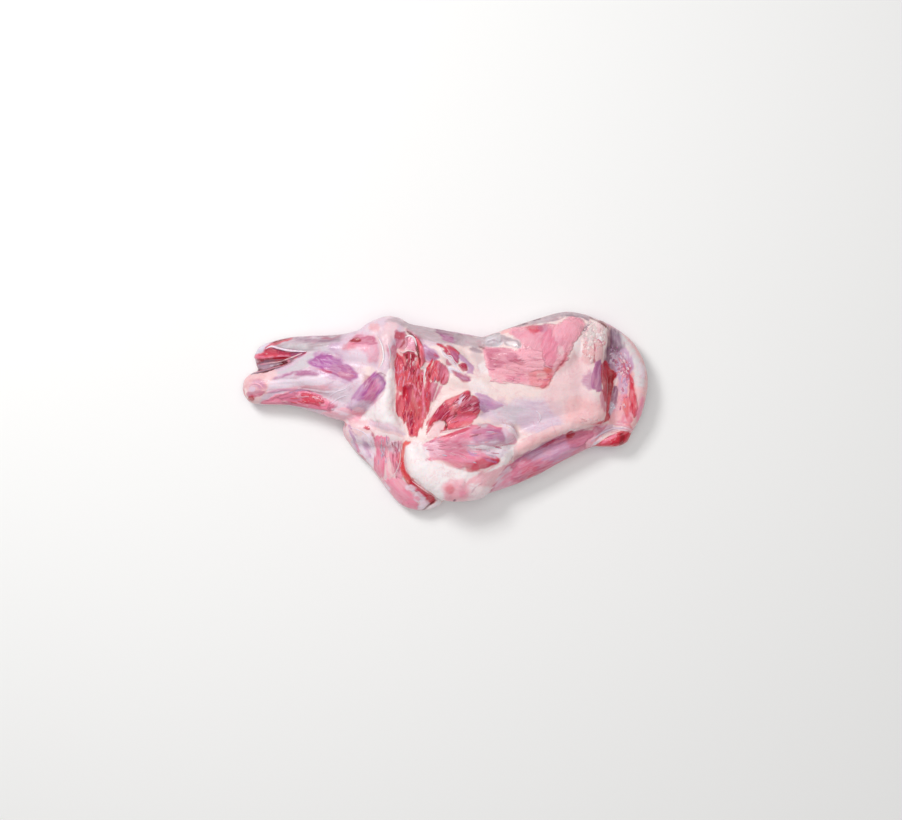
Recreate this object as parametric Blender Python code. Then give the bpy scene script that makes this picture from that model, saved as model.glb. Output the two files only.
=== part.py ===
"""A raw lamb shoulder on the bone, lying with its inner side up, as one closed solid.

The shank points to -X, the shoulder blade to +X, the elbow to +Y, and +Z is up from the board.
The origin is the middle of the base. The flesh is built the way the joint of meat is: each muscle
is a tapering belly along its own line, each flap is a thick sheet with a round rim, and one skin
is drawn over all of them. Sizes in the tables are millimetres.
"""

import math

import bmesh
import bpy
import numpy as np
from mathutils import Matrix

# Driving dimensions, in millimetres. The tables below are drawn for a joint of TABLE_LENGTH.
LENGTH = 420.0
TABLE_LENGTH = 420.0
MM = 0.001 * LENGTH / TABLE_LENGTH

# How the skin over the muscles is drawn.
SKIN_VOXEL = 2.0
SKIN_SMOOTHING = 5
KEPT_FACES = 0.098
BELLY_SIDES = 20
STATION_STEPS = 6
DOME_TURNS = (75, 50, 25)
RIM_STEPS = 8
BASE_SINK = 3.0

FLESH_COLOUR = (0.80, 0.42, 0.45, 1.0)
FLESH_ROUGHNESS = 0.38

# Each belly: stations along its line, as (x, y, z, half width, half height).
SHANK = {
    "knuckle": [(-194, 23.5, 17, 17.5, 17), (-184, 26, 18, 17, 18)],
    "knuckle_boss": [(-200, 20, 20, 9, 12), (-192, 22, 23, 9, 10)],
    "bone": [(-190, 27, 18, 15, 16), (-165, 31, 20, 17, 18), (-140, 36, 23, 18, 20)],
    "front": [(-190, 14, 15, 8, 12), (-160, 15, 18, 10, 15), (-135, 12, 20, 13, 18),
              (-112, 5, 23, 14, 20), (-100, 4, 25, 14, 20)],
    "middle": [(-174, 34, 22, 10, 16), (-150, 38, 26, 15, 20), (-125, 36, 30, 20, 24),
               (-100, 31, 31, 25, 26), (-80, 28, 32, 28, 28)],
    "bridge": [(-150, 52, 26, 8, 15), (-132, 53, 30, 9, 18), (-112, 50, 31, 12, 22)],
    "back": [(-191, 63, 20, 4, 9), (-175, 67, 21, 6, 13), (-155, 68, 22, 9, 17),
             (-130, 66, 25, 12, 21), (-103, 62, 28, 18, 25), (-80, 62, 30, 24, 27)],
    "back_cut_face": [(-195, 56, 16, 4, 9), (-178, 57, 17, 5, 11), (-158, 58.5, 19, 5, 13)],
    "slot_floor": [(-192, 49, 9, 8, 6), (-165, 53, 11, 9, 7)],
    "elbow_head": [(-96, 60, 35, 16, 21), (-76, 59, 36, 21, 23)],
    "elbow_point": [(-74, 77, 29, 15, 22), (-57, 82, 29, 16, 23), (-46, 77, 29, 15, 22)],
    "oval_muscle": [(-91, 10, 43, 9, 13), (-79, 22, 46, 12, 15), (-69, 33, 45, 10, 13)],
}
UPPER_ARM = {
    "arm_core": [(-66, 22, 27, 42, 27), (-36, 22, 25, 58, 27), (0, 22, 25, 56, 28),
                 (40, 20, 26, 52, 27)],
    "shank_side_lip": [(-58, 74, 41, 7, 13), (-59, 50, 44, 9, 14), (-62, 22, 45, 11, 15),
                       (-60, -6, 44, 12, 14), (-50, -24, 43, 10, 13)],
    "cut_floor": [(-38, 66, 41, 10, 11), (-38, 30, 43, 12, 11), (-35, -6, 43, 11, 11)],
    "cut_strip": [(-8, 46, 44, 8, 12), (-13, 26, 46, 7, 11), (-18, 4, 45, 5, 10)],
    "veined_muscle": [(-18, 63, 42, 9, 12), (0, 59, 43, 11, 13), (20, 47, 42, 9, 12)],
    "fat_wedge": [(6, 34, 44, 12, 12), (26, 30, 44, 14, 12), (44, 22, 42, 16, 12)],
    "upper_edge": [(-46, 80, 27, 11, 19), (-22, 76, 27, 11, 20), (5, 71, 27, 11, 20),
                   (32, 66, 27, 11, 20)],
    "elbow_cord": [(-40, 84, 40, 3.5, 6), (-31, 74, 46, 3.5, 6), (-26, 58, 49, 3.5, 6),
                   (-24, 44, 50, 3, 6)],
}
SHOULDER_JOINT = {
    "joint_core": [(-22, -34, 29, 37, 30), (10, -36, 30, 45, 33), (44, -34, 29, 42, 31)],
    "fan_upper": [(-17, -15, 48, 5, 8), (-3, -1, 50, 9, 11), (16, 6, 51, 12, 12),
                  (30, 4, 50, 10, 11)],
    "fan_lower": [(-14, -30, 50, 6, 9), (12, -28, 54, 12, 13), (38, -26, 55, 14, 13),
                  (62, -22, 52, 10, 11)],
    "fan_keel": [(-2, -46, 49, 7, 10), (24, -48, 51, 9, 12), (44, -48, 49, 9, 11)],
    "fat_pad": [(-33, -40, 47, 9, 14), (-23, -57, 46, 17, 17), (2, -71, 41, 21, 20),
                (30, -74, 36, 18, 18)],
}
BLADE = {
    "blade_core": [(18, 22, 27, 52, 26), (60, 22, 28, 52, 25), (95, 26, 28, 54, 24),
                   (126, 30, 27, 50, 24), (146, 34, 26, 47, 21)],
    "hollow_muscle": [(54, 50, 42, 16, 12), (84, 56, 44, 27, 14), (112, 64, 43, 27, 14),
                      (130, 80, 40, 15, 12)],
    "end_ridge_top": [(157, 84, 36, 10, 15), (152, 72, 39, 15, 15), (150, 56, 40, 13, 14)],
    "end_ridge": [(150, 60, 39, 11, 13), (149, 38, 38, 13, 13), (149, 14, 38, 14, 13),
                  (153, -4, 36, 12, 13)],
    "low_lip": [(154, -5, 35, 10, 12), (130, -11, 37, 11, 12), (100, -22, 39, 11, 12),
                (77, -35, 41, 11, 12)],
    "back_edge": [(34, 65, 28, 9, 18), (62, 74, 28, 10, 17), (92, 84, 28, 10, 16),
                  (124, 92.5, 27, 10, 15), (146, 89, 27, 9, 14)],
    "cartilage_near": [(42, 70, 41, 5, 7), (50, 71.5, 43, 6, 7)],
    "cartilage_far": [(58, 71, 43, 5, 6), (70, 67.5, 46, 6, 6)],
}
OUTER_SHEET = {
    "belly_strip": [(16, -78, 24, 14, 18), (50, -67, 22, 16, 17), (84, -54, 20, 16, 16),
                    (118, -38, 19, 14, 16), (150, -25, 17, 12, 15)],
    "rim": [(142, 92, 16, 9, 13), (168, 79, 17, 10, 14), (188, 61, 18, 11, 15),
            (198, 35, 18, 11, 15), (195, 8, 18, 11, 15), (188, -12, 17, 10, 14),
            (177, -27, 16, 10, 13)],
    "floor": [(152, 60, 11, 38, 13), (170, 30, 11, 30, 13), (168, -2, 10, 30, 12),
              (158, -20, 10, 18, 12)],
    "cut_end": [(160, -32, 14, 6, 13), (175, -29, 15, 9, 15), (183, -27, 14, 8, 13)],
}
BREAST = {
    "root": [(-90, -18, 25, 15, 18), (-68, -21, 29, 16, 20), (-46, -26, 34, 14, 20)],
    "ribbon": [(-64, -34, 26, 11, 12), (-58, -56, 25, 13, 12), (-42, -78, 23, 13, 12),
               (-30, -89, 20, 10, 11)],
    "inner_roll": [(-50, -32, 34, 6, 10), (-47, -52, 32, 7, 11), (-34, -72, 29, 8, 12),
                   (-18, -85, 24, 7, 11)],
    "skin_fold": [(-24, -100, 13, 4, 8), (-12, -96.5, 13, 4, 8), (-3, -91, 14, 3, 8)],
}
MUSCLE_GROUPS = (SHANK, UPPER_ARM, SHOULDER_JOINT, BLADE, OUTER_SHEET, BREAST)

# Two thick sheets, each an outline seen from above: the breast flap that hangs from the arm, and the
# flesh of the outer side, which lies against the board under everything else.
BREAST_FLAP = [(-103, -12), (-107, -23), (-99, -36), (-90, -47), (-80, -56), (-72, -67),
               (-62, -80), (-50, -95), (-38, -102), (-25, -103), (-13, -97), (-5, -92),
               (6, -74), (2, -40), (-30, -12), (-66, -4)]
BREAST_LOW, BREAST_TOP, BREAST_RIM = -BASE_SINK, 27.0, 11.0
OUTER_SIDE = [(-114, 32), (-104, 0), (-84, -22), (-56, -58), (-20, -80), (14, -86),
              (50, -77), (84, -63), (118, -47), (150, -33), (176, -30), (190, -14),
              (198, 8), (200, 34), (189, 60), (171, 79), (150, 91), (126, 95),
              (96, 88), (62, 76), (32, 69), (0, 75), (-32, 80), (-56, 86),
              (-80, 78), (-104, 66)]
OUTER_LOW, OUTER_TOP, OUTER_RIM = -BASE_SINK, 24.0, 13.0

# Open places: the slot between the two halves of the shank end, and the cleft under the blade.
SHANK_SLOT = [(-216, 47, 39, 6, 26), (-192, 46, 38, 4.6, 25), (-177, 48, 38, 3.2, 22),
              (-161, 52.6, 42, 2.0, 18), (-148, 58.5, 46, 1.0, 12)]
BLADE_CLEFT = [(165, 62, 44, 2.0, 14), (169, 48, 40, 3.6, 18), (171, 36, 38, 5.0, 20),
               (169, 14, 38, 3.4, 19), (167, -4, 40, 2.0, 15)]
BOARD_BLOCK = (520.0, 320.0, 60.0)


def clear_scene():
    """Empties the scene, so that only the joint of meat is in it."""
    for thing in list(bpy.data.objects):
        bpy.data.objects.remove(thing)


def smooth_line(stations, steps, closed=False):
    """Points on a Catmull-Rom curve through the stations, with all their columns."""
    nodes = np.array(stations, float)
    count = len(nodes)
    spans = count if closed else count - 1
    made = []
    for i in range(spans):
        if closed:
            a, b, c, d = (nodes[(i + k) % count] for k in (-1, 0, 1, 2))
        else:
            a, b, c, d = (nodes[min(max(i + k, 0), count - 1)] for k in (-1, 0, 1, 2))
        for t in np.arange(steps) / steps:
            made.append(0.5 * ((2 * b) + (c - a) * t + (2 * a - 5 * b + 4 * c - d) * t**2
                               + (3 * b - a - 3 * c + d) * t**3))
    if not closed:
        made.append(nodes[-1])
    return np.array(made)


def add_belly(bm, stations):
    """A muscle: elliptic rings along a smooth line, with a round dome at each end."""
    line = smooth_line(stations, STATION_STEPS)
    along = np.gradient(line[:, :3], axis=0)
    along /= np.linalg.norm(along, axis=1)[:, None]
    quarter = np.radians(DOME_TURNS)
    rings = []
    for turn in quarter:
        rings.append((line[0], along[0], math.cos(turn), -math.sin(turn)))
    for station, way in zip(line, along):
        rings.append((station, way, 1.0, 0.0))
    for turn in reversed(quarter):
        rings.append((line[-1], along[-1], math.cos(turn), math.sin(turn)))
    made = []
    for (x, y, z, half_width, half_height), way, share, reach in rings:
        dome = min(half_width, half_height) * reach
        middle = np.array((x, y, z)) + way * dome
        across = np.array((-way[1], way[0], 0.0))
        across /= np.linalg.norm(across)
        ring = []
        for k in range(BELLY_SIDES):
            turn = 2 * math.pi * k / BELLY_SIDES
            point = middle + across * (half_width * share * math.cos(turn))
            point[2] += half_height * share * math.sin(turn)
            ring.append(bm.verts.new(point * MM))
        made.append(ring)
    for near, far in zip(made, made[1:]):
        for k in range(BELLY_SIDES):
            after = (k + 1) % BELLY_SIDES
            bm.faces.new((near[k], near[after], far[after], far[k]))
    bm.faces.new(tuple(reversed(made[0])))
    bm.faces.new(tuple(made[-1]))


def add_sheet(bm, outline, low, top, rim):
    """A flap: a sheet between two heights, whose rim is rounded inside its outline."""
    edge = smooth_line(outline, 3, closed=True)
    ahead = np.roll(edge, -1, axis=0) - np.roll(edge, 1, axis=0)
    inward = np.stack((-ahead[:, 1], ahead[:, 0]), axis=1)
    inward /= np.linalg.norm(inward, axis=1)[:, None]
    turns = np.linspace(0, math.pi, RIM_STEPS + 1)
    middle, half = (low + top) / 2, (top - low) / 2
    rings = []
    for turn in turns:
        ring = edge + inward * (rim * (1 - math.sin(turn)))
        height = middle - half * math.cos(turn)
        rings.append([bm.verts.new((x * MM, y * MM, height * MM)) for x, y in ring])
    for below, above in zip(rings, rings[1:]):
        for k in range(len(edge)):
            after = (k + 1) % len(edge)
            bm.faces.new((below[k], below[after], above[after], above[k]))
    bm.faces.new(tuple(reversed(rings[0])))
    bm.faces.new(tuple(rings[-1]))


def new_object(name, bm):
    """An object in the scene that holds the shapes of bm, with their faces pointing out."""
    bmesh.ops.recalc_face_normals(bm, faces=bm.faces)
    mesh = bpy.data.meshes.new(name)
    bm.to_mesh(mesh)
    bm.free()
    made = bpy.data.objects.new(name, mesh)
    bpy.context.scene.collection.objects.link(made)
    return made


def as_cutter(made):
    """Marks a shape as a tool that only removes flesh."""
    made.hide_render = True
    made.display_type = "WIRE"
    return made


def belly_cutter(name, stations):
    bm = bmesh.new()
    add_belly(bm, stations)
    return as_cutter(new_object(name, bm))


def board_cutter():
    """A block whose top is the board: it gives the meat the flat base that it rests on."""
    bm = bmesh.new()
    bmesh.ops.create_cube(bm, size=1.0)
    for vertex in bm.verts:
        vertex.co.x *= BOARD_BLOCK[0] * MM
        vertex.co.y *= BOARD_BLOCK[1] * MM
        vertex.co.z = (vertex.co.z - 0.5) * BOARD_BLOCK[2] * MM
    return as_cutter(new_object("board_block", bm))


def flesh_material():
    """Moist raw meat, an even mid tone between the lean and the fat."""
    material = bpy.data.materials.new("raw_lamb")
    material.use_nodes = True
    shader = material.node_tree.nodes["Principled BSDF"]
    shader.inputs["Base Color"].default_value = FLESH_COLOUR
    shader.inputs["Roughness"].default_value = FLESH_ROUGHNESS
    shader.inputs["Metallic"].default_value = 0.0
    return material


def draw_skin(made, voxel):
    skin = made.modifiers.new("skin", "REMESH")
    skin.mode = "VOXEL"
    skin.voxel_size = voxel * MM
    skin.adaptivity = 0.0


def cut(made, cutter):
    taken = made.modifiers.new("cut_" + cutter.name, "BOOLEAN")
    taken.operation = "DIFFERENCE"
    taken.solver = "EXACT"
    taken.object = cutter


def settle(made, cutters):
    """Keeps the finished skin as the object's own mesh, with its origin under its middle."""
    graph = bpy.context.evaluated_depsgraph_get()
    finished = bpy.data.meshes.new_from_object(made.evaluated_get(graph))
    made.modifiers.clear()
    made.data = finished
    for cutter in cutters:
        bpy.data.objects.remove(cutter)
    places = np.empty(len(finished.vertices) * 3, np.float32)
    finished.vertices.foreach_get("co", places)
    places = places.reshape(-1, 3)
    middle = (places.min(axis=0) + places.max(axis=0)) / 2
    finished.transform(Matrix.Translation((-middle[0], -middle[1], 0.0)))
    finished.shade_smooth()


def build_shoulder():
    """The whole joint of meat as one object."""
    bm = bmesh.new()
    for group in MUSCLE_GROUPS:
        for stations in group.values():
            add_belly(bm, stations)
    add_sheet(bm, BREAST_FLAP, BREAST_LOW, BREAST_TOP, BREAST_RIM)
    add_sheet(bm, OUTER_SIDE, OUTER_LOW, OUTER_TOP, OUTER_RIM)
    shoulder = new_object("lamb_shoulder", bm)
    shoulder.data.materials.append(flesh_material())
    slot = belly_cutter("shank_slot", SHANK_SLOT)
    cleft = belly_cutter("blade_cleft", BLADE_CLEFT)
    board = board_cutter()
    draw_skin(shoulder, SKIN_VOXEL)
    cut(shoulder, slot)
    cut(shoulder, cleft)
    draw_skin(shoulder, SKIN_VOXEL)
    relax = shoulder.modifiers.new("relax", "SMOOTH")
    relax.factor = 0.5
    relax.iterations = SKIN_SMOOTHING
    thin = shoulder.modifiers.new("thin", "DECIMATE")
    thin.decimate_type = "COLLAPSE"
    thin.ratio = KEPT_FACES
    cut(shoulder, board)
    settle(shoulder, (slot, cleft, board))
    return shoulder


clear_scene()
build_shoulder()
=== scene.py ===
"""The looks of a raw lamb shoulder: muscle, silverskin, fat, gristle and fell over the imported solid.

The joint of meat lies with its inner side up, shank to -X and blade to +X. Its skin is drawn again
from the solid as a fine mesh. Marks are laid on that mesh from straight above: an area or a line of
one shade and one tissue, with its own fibre direction and its own rise or dip. One material then
turns the tissues into fibres, lobes of fat, thin film and wet shine. Loose things, such as the
curled membrane of the slot, torn fibres and crumbs of fat, are pieces of their own.
Marks are in millimetres, meshes in metres.
"""

import logging
import math
from dataclasses import dataclass, field, replace
from enum import Enum
from typing import Any, Callable, Sequence

import bmesh
import bpy
import numpy as np
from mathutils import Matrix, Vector
from mathutils.bvhtree import BVHTree


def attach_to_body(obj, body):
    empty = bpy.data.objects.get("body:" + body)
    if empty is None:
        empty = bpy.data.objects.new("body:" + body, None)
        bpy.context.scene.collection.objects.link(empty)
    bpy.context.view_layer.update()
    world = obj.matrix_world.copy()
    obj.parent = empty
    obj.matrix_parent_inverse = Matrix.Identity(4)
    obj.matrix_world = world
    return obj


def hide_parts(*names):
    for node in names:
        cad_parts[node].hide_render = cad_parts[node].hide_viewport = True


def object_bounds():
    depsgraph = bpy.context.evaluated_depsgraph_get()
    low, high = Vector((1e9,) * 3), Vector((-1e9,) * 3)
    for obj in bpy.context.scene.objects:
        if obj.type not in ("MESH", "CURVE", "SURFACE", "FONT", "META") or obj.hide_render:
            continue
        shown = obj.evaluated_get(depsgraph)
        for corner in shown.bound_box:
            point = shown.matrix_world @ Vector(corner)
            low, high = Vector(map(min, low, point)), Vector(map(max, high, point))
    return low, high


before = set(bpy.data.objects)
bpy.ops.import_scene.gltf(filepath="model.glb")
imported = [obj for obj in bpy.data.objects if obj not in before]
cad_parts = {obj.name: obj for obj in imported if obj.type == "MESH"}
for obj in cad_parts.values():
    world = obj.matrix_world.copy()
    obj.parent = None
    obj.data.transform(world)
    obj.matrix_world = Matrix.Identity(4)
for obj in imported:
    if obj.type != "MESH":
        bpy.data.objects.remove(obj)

CAD_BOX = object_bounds()
CAD_NODE = "lamb_shoulder"
BODY = "root"
MM = 0.001
MARGIN = 0.02 * MM
# The white sheen that wet flesh adds to a shade, and the darkest that a shade gets without it.
SHEEN, DARKEST = 0.04, 0.004
# How many positions are drawn for each loose bit, since some fall outside the bit's patch.
SPARE = 3
# The points that the fibres of the two fanned muscles start from.
FAN_ROOT, FAN_HEEL = (-27.0, -31.0), (-34.0, -38.0)

log = logging.getLogger("shoulder")


class Shade(Enum):
    """The colours of fresh lamb, as sRGB from 0 to 255."""

    IVORY = (255, 244, 245)
    CREAM = (249, 226, 223)
    BLUSH = (244, 207, 210)
    SALMON = (248, 194, 195)
    PETAL = (252, 182, 196)
    PEACH = (236, 180, 183)
    BLOSSOM = (252, 157, 182)
    PEARL = (248, 229, 241)
    PALE_LILAC = (227, 202, 218)
    LILAC = (208, 166, 198)
    MAUVE = (188, 122, 160)
    MAGENTA = (184, 108, 170)
    PLUM = (148, 96, 126)
    DUSKY = (208, 126, 151)
    ROSE = (223, 136, 160)
    PINK = (238, 162, 180)
    CANDY = (242, 142, 168)
    CORAL = (240, 118, 116)
    RAW = (232, 106, 122)
    LEAN = (217, 90, 108)
    SCARLET = (216, 60, 78)
    WINE = (190, 68, 94)
    RUBY = (192, 42, 68)
    CRIMSON = (165, 36, 62)
    BLOOD = (124, 22, 40)
    UMBER = (96, 54, 68)
    FELL = (213, 205, 211)
    DOVE = (192, 173, 179)
    MIST = (224, 219, 231)
    ASH = (162, 138, 152)
    GRISTLE = (226, 224, 226)
    BONE = (228, 212, 209)

    def linear(self) -> np.ndarray:
        """The shade as linear light, less its white sheen."""
        return np.maximum(linear_light(self.value) - SHEEN, DARKEST)


class Tissue(Enum):
    """What the surface is made of: shares of lean, fat and film, and how wet it is."""

    LEAN = (1.0, 0.0, 0.0, 0.45)
    VEILED = (0.55, 0.0, 0.8, 0.4)
    FAT = (0.0, 1.0, 0.0, 0.1)
    SOFT_FAT = (0.0, 0.55, 0.35, 0.25)
    MEMBRANE = (0.0, 0.1, 1.0, 0.45)
    FELL = (0.0, 0.2, 0.75, 0.05)
    GRISTLE = (0.0, 0.0, 0.6, 0.8)
    BLOODY = (0.75, 0.0, 0.0, 1.0)


LAYERS = ("lean", "fat", "film", "wet")


def inside_box(places: np.ndarray) -> np.ndarray:
    """Holds points inside the solid's box."""
    low, high = (np.array(corner) for corner in CAD_BOX)
    return np.clip(places, low + MARGIN, high - MARGIN)


def linear_light(colour: Sequence[float]) -> np.ndarray:
    """Turns an sRGB colour into linear light.

    Args:
        colour: Red, green and blue from 0 to 255.

    Returns:
        Three numbers from 0 to 1.
    """
    share = np.asarray(colour, float) / 255.0
    return np.where(share <= 0.04045, share / 12.92, ((share + 0.055) / 1.055) ** 2.4)


def smoothstep(low: float, high: float, value: np.ndarray) -> np.ndarray:
    """Rises smoothly from 0 at low to 1 at high."""
    share = np.clip((value - low) / (high - low), 0.0, 1.0)
    return share * share * (3.0 - 2.0 * share)


def smooth_line(numbers: Sequence[float], steps: int, closed: bool = False) -> np.ndarray:
    """Reads a smooth curve through points that are given as x, y, x, y.

    Args:
        numbers: The points' coordinates, one after another.
        steps: How many points to read in each span.
        closed: Whether the curve runs back to its first point.

    Returns:
        The points on the curve, one a row.
    """
    nodes = np.asarray(numbers, float).reshape(-1, 2)
    count = len(nodes)
    made = []
    for i in range(count if closed else count - 1):
        if closed:
            a, b, c, d = (nodes[(i + k) % count] for k in (-1, 0, 1, 2))
        else:
            a, b, c, d = (nodes[min(max(i + k, 0), count - 1)] for k in (-1, 0, 1, 2))
        for t in np.arange(steps) / steps:
            made.append(0.5 * (2 * b + (c - a) * t + (2 * a - 5 * b + 4 * c - d) * t**2
                               + (3 * b - a - 3 * c + d) * t**3))
    if not closed:
        made.append(nodes[-1])
    return np.array(made)


def line_distance(places: np.ndarray, line: np.ndarray) -> tuple[np.ndarray, np.ndarray]:
    """Measures how far each place is from a line.

    Args:
        places: Points in plan, one a row.
        line: The line's points, one a row.

    Returns:
        The distances, and how far along the line the nearest point is, from 0 to 1.
    """
    starts, spans = line[:-1], np.diff(line, axis=0)
    lengths = np.linalg.norm(spans, axis=1)
    reached = np.concatenate(([0.0], np.cumsum(lengths)))
    away = places[:, None, :] - starts[None]
    share = np.clip((away * spans).sum(2) / np.maximum(lengths**2, 1e-9), 0.0, 1.0)
    gaps = np.linalg.norm(away - share[..., None] * spans, axis=2)
    nearest = gaps.argmin(axis=1)
    rows = np.arange(len(places))
    along = reached[nearest] + share[rows, nearest] * lengths[nearest]
    return gaps[rows, nearest], along / reached[-1]


def depth_inside(places: np.ndarray, outline: np.ndarray) -> np.ndarray:
    """Measures how deep each place lies inside a closed outline, negative outside it."""
    ring = np.vstack((outline, outline[:1]))
    gaps, _ = line_distance(places, ring)
    x, y = places[:, 0:1], places[:, 1:2]
    (x0, y0), (x1, y1) = ring[:-1].T, ring[1:].T
    crosses = (y0 > y) != (y1 > y)
    rise = np.where(np.abs(y1 - y0) < 1e-9, 1e-9, y1 - y0)
    left = x < (x1 - x0) * (y - y0) / rise + x0
    inside = (crosses & left).sum(axis=1) % 2 == 1
    return np.where(inside, gaps, -gaps)


class Ripple:
    """Smooth seeded noise in space, from -1 to 1, on a lattice that repeats."""

    CELLS = 32
    GAIN = 1.7
    OCTAVES = 3
    SHIFT = 7.3

    def __init__(self, seed: int) -> None:
        """Draws the lattice's values."""
        self.lattice = np.random.default_rng(seed).uniform(-1, 1, (self.CELLS,) * 3)

    def __call__(self, places: np.ndarray, size: float | Sequence[float]) -> np.ndarray:
        """Reads the noise.

        Args:
            places: Points in space, one a row.
            size: The cells' size, in the places' unit.

        Returns:
            One number for each place.
        """
        where = places / np.asarray(size, float)
        base = np.floor(where).astype(int)
        part = where - base
        part = part * part * (3.0 - 2.0 * part)
        total = np.zeros(len(places))
        for corner in np.ndindex(2, 2, 2):
            index = (base + corner) % self.CELLS
            weight = np.prod(np.where(corner, part, 1.0 - part), axis=1)
            total += weight * self.lattice[index[:, 0], index[:, 1], index[:, 2]]
        return np.clip(self.GAIN * total, -1.0, 1.0)

    def cloud(self, places: np.ndarray, size: float) -> np.ndarray:
        """Adds finer noise to coarse noise, each octave at half the size and strength."""
        octaves = range(self.OCTAVES)
        total = sum(self(places + self.SHIFT * k, size / 2**k) / 2**k for k in octaves)
        return total / sum(0.5**k for k in octaves)


@dataclass
class Surface:
    """The points of the flesh, and all that the marks lay on them."""

    places: np.ndarray
    normals: np.ndarray
    plan: np.ndarray = field(init=False)
    facing: np.ndarray = field(init=False)
    tint: np.ndarray = field(init=False)
    layers: np.ndarray = field(init=False)
    grain: np.ndarray = field(init=False)
    lift: np.ndarray = field(init=False)

    # Marks are drawn for the height PLAN_LEVEL, as seen from EYE_HEIGHT over the middle.
    PLAN_LEVEL = 35.0
    EYE_HEIGHT = 1832.0
    EYE_X, EYE_Y = 6.15, 1.54
    # On a steep side a mark ends where it would if the side were laid out flat.
    STEEP = 0.45
    DRAPE = 1.2
    # How far up the skin looks where marks start to show, and where they show in full.
    FACING = (-0.05, 0.35)

    def __post_init__(self) -> None:
        """Works out the plan positions and starts each layer empty."""
        count = len(self.places)
        eye = np.array((self.EYE_X, self.EYE_Y))
        reach = (self.EYE_HEIGHT - self.PLAN_LEVEL) / (self.EYE_HEIGHT - self.places[:, 2])
        self.plan = eye + (self.places[:, :2] - eye) * reach[:, None]
        steep = 1.0 - smoothstep(0.0, self.STEEP, self.normals[:, 2])
        drop = steep * self.DRAPE * np.clip(self.PLAN_LEVEL - self.places[:, 2], 0.0, None)
        self.plan += self.normals[:, :2] * drop[:, None]
        self.facing = smoothstep(*self.FACING, self.normals[:, 2])
        self.tint = np.zeros((count, 3))
        self.layers = np.zeros((count, len(LAYERS)))
        self.grain = self.places.copy()
        self.lift = np.zeros(count)


@dataclass(frozen=True)
class Brush:
    """One way to lay marks, as areas or, where it has a width, as lines.

    Attributes:
        cover: How much of what is under them the marks hide.
        soft: The width over which their edge fades.
        ragged: How far their edge wanders.
        rise: How far their middle stands proud, negative for a dip.
        patchy: How much of their cover they lose in patches.
        width: The lines' full width, or None for areas.
        blunt: How much of their width the lines' ends keep.
    """

    cover: float
    soft: float
    ragged: float
    rise: float = 0.0
    patchy: float = 0.2
    width: float | None = None
    blunt: float = 0.25

    def __call__(self, shade: Shade, *paths: tuple[float, ...], tissue: Tissue | None = None,
                 grain: float | None = None, hub: tuple[float, float] | None = None,
                 **changes: float) -> list["Mark"]:
        """Makes marks of one shade.

        Args:
            shade: Their colour.
            paths: x, y, x, y of each outline or line.
            tissue: What they are made of, or None to keep what is there.
            grain: The direction of their fibres in degrees from +X, or None to keep what is there.
            hub: The point that their fibres fan out from, instead of one direction.
            changes: What differs from the brush.

        Returns:
            One mark for each path.
        """
        kind = Mark if self.width is None else Line
        brush = replace(self, **changes)
        return [kind(path, shade, brush, tissue, grain, hub) for path in paths]


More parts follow.
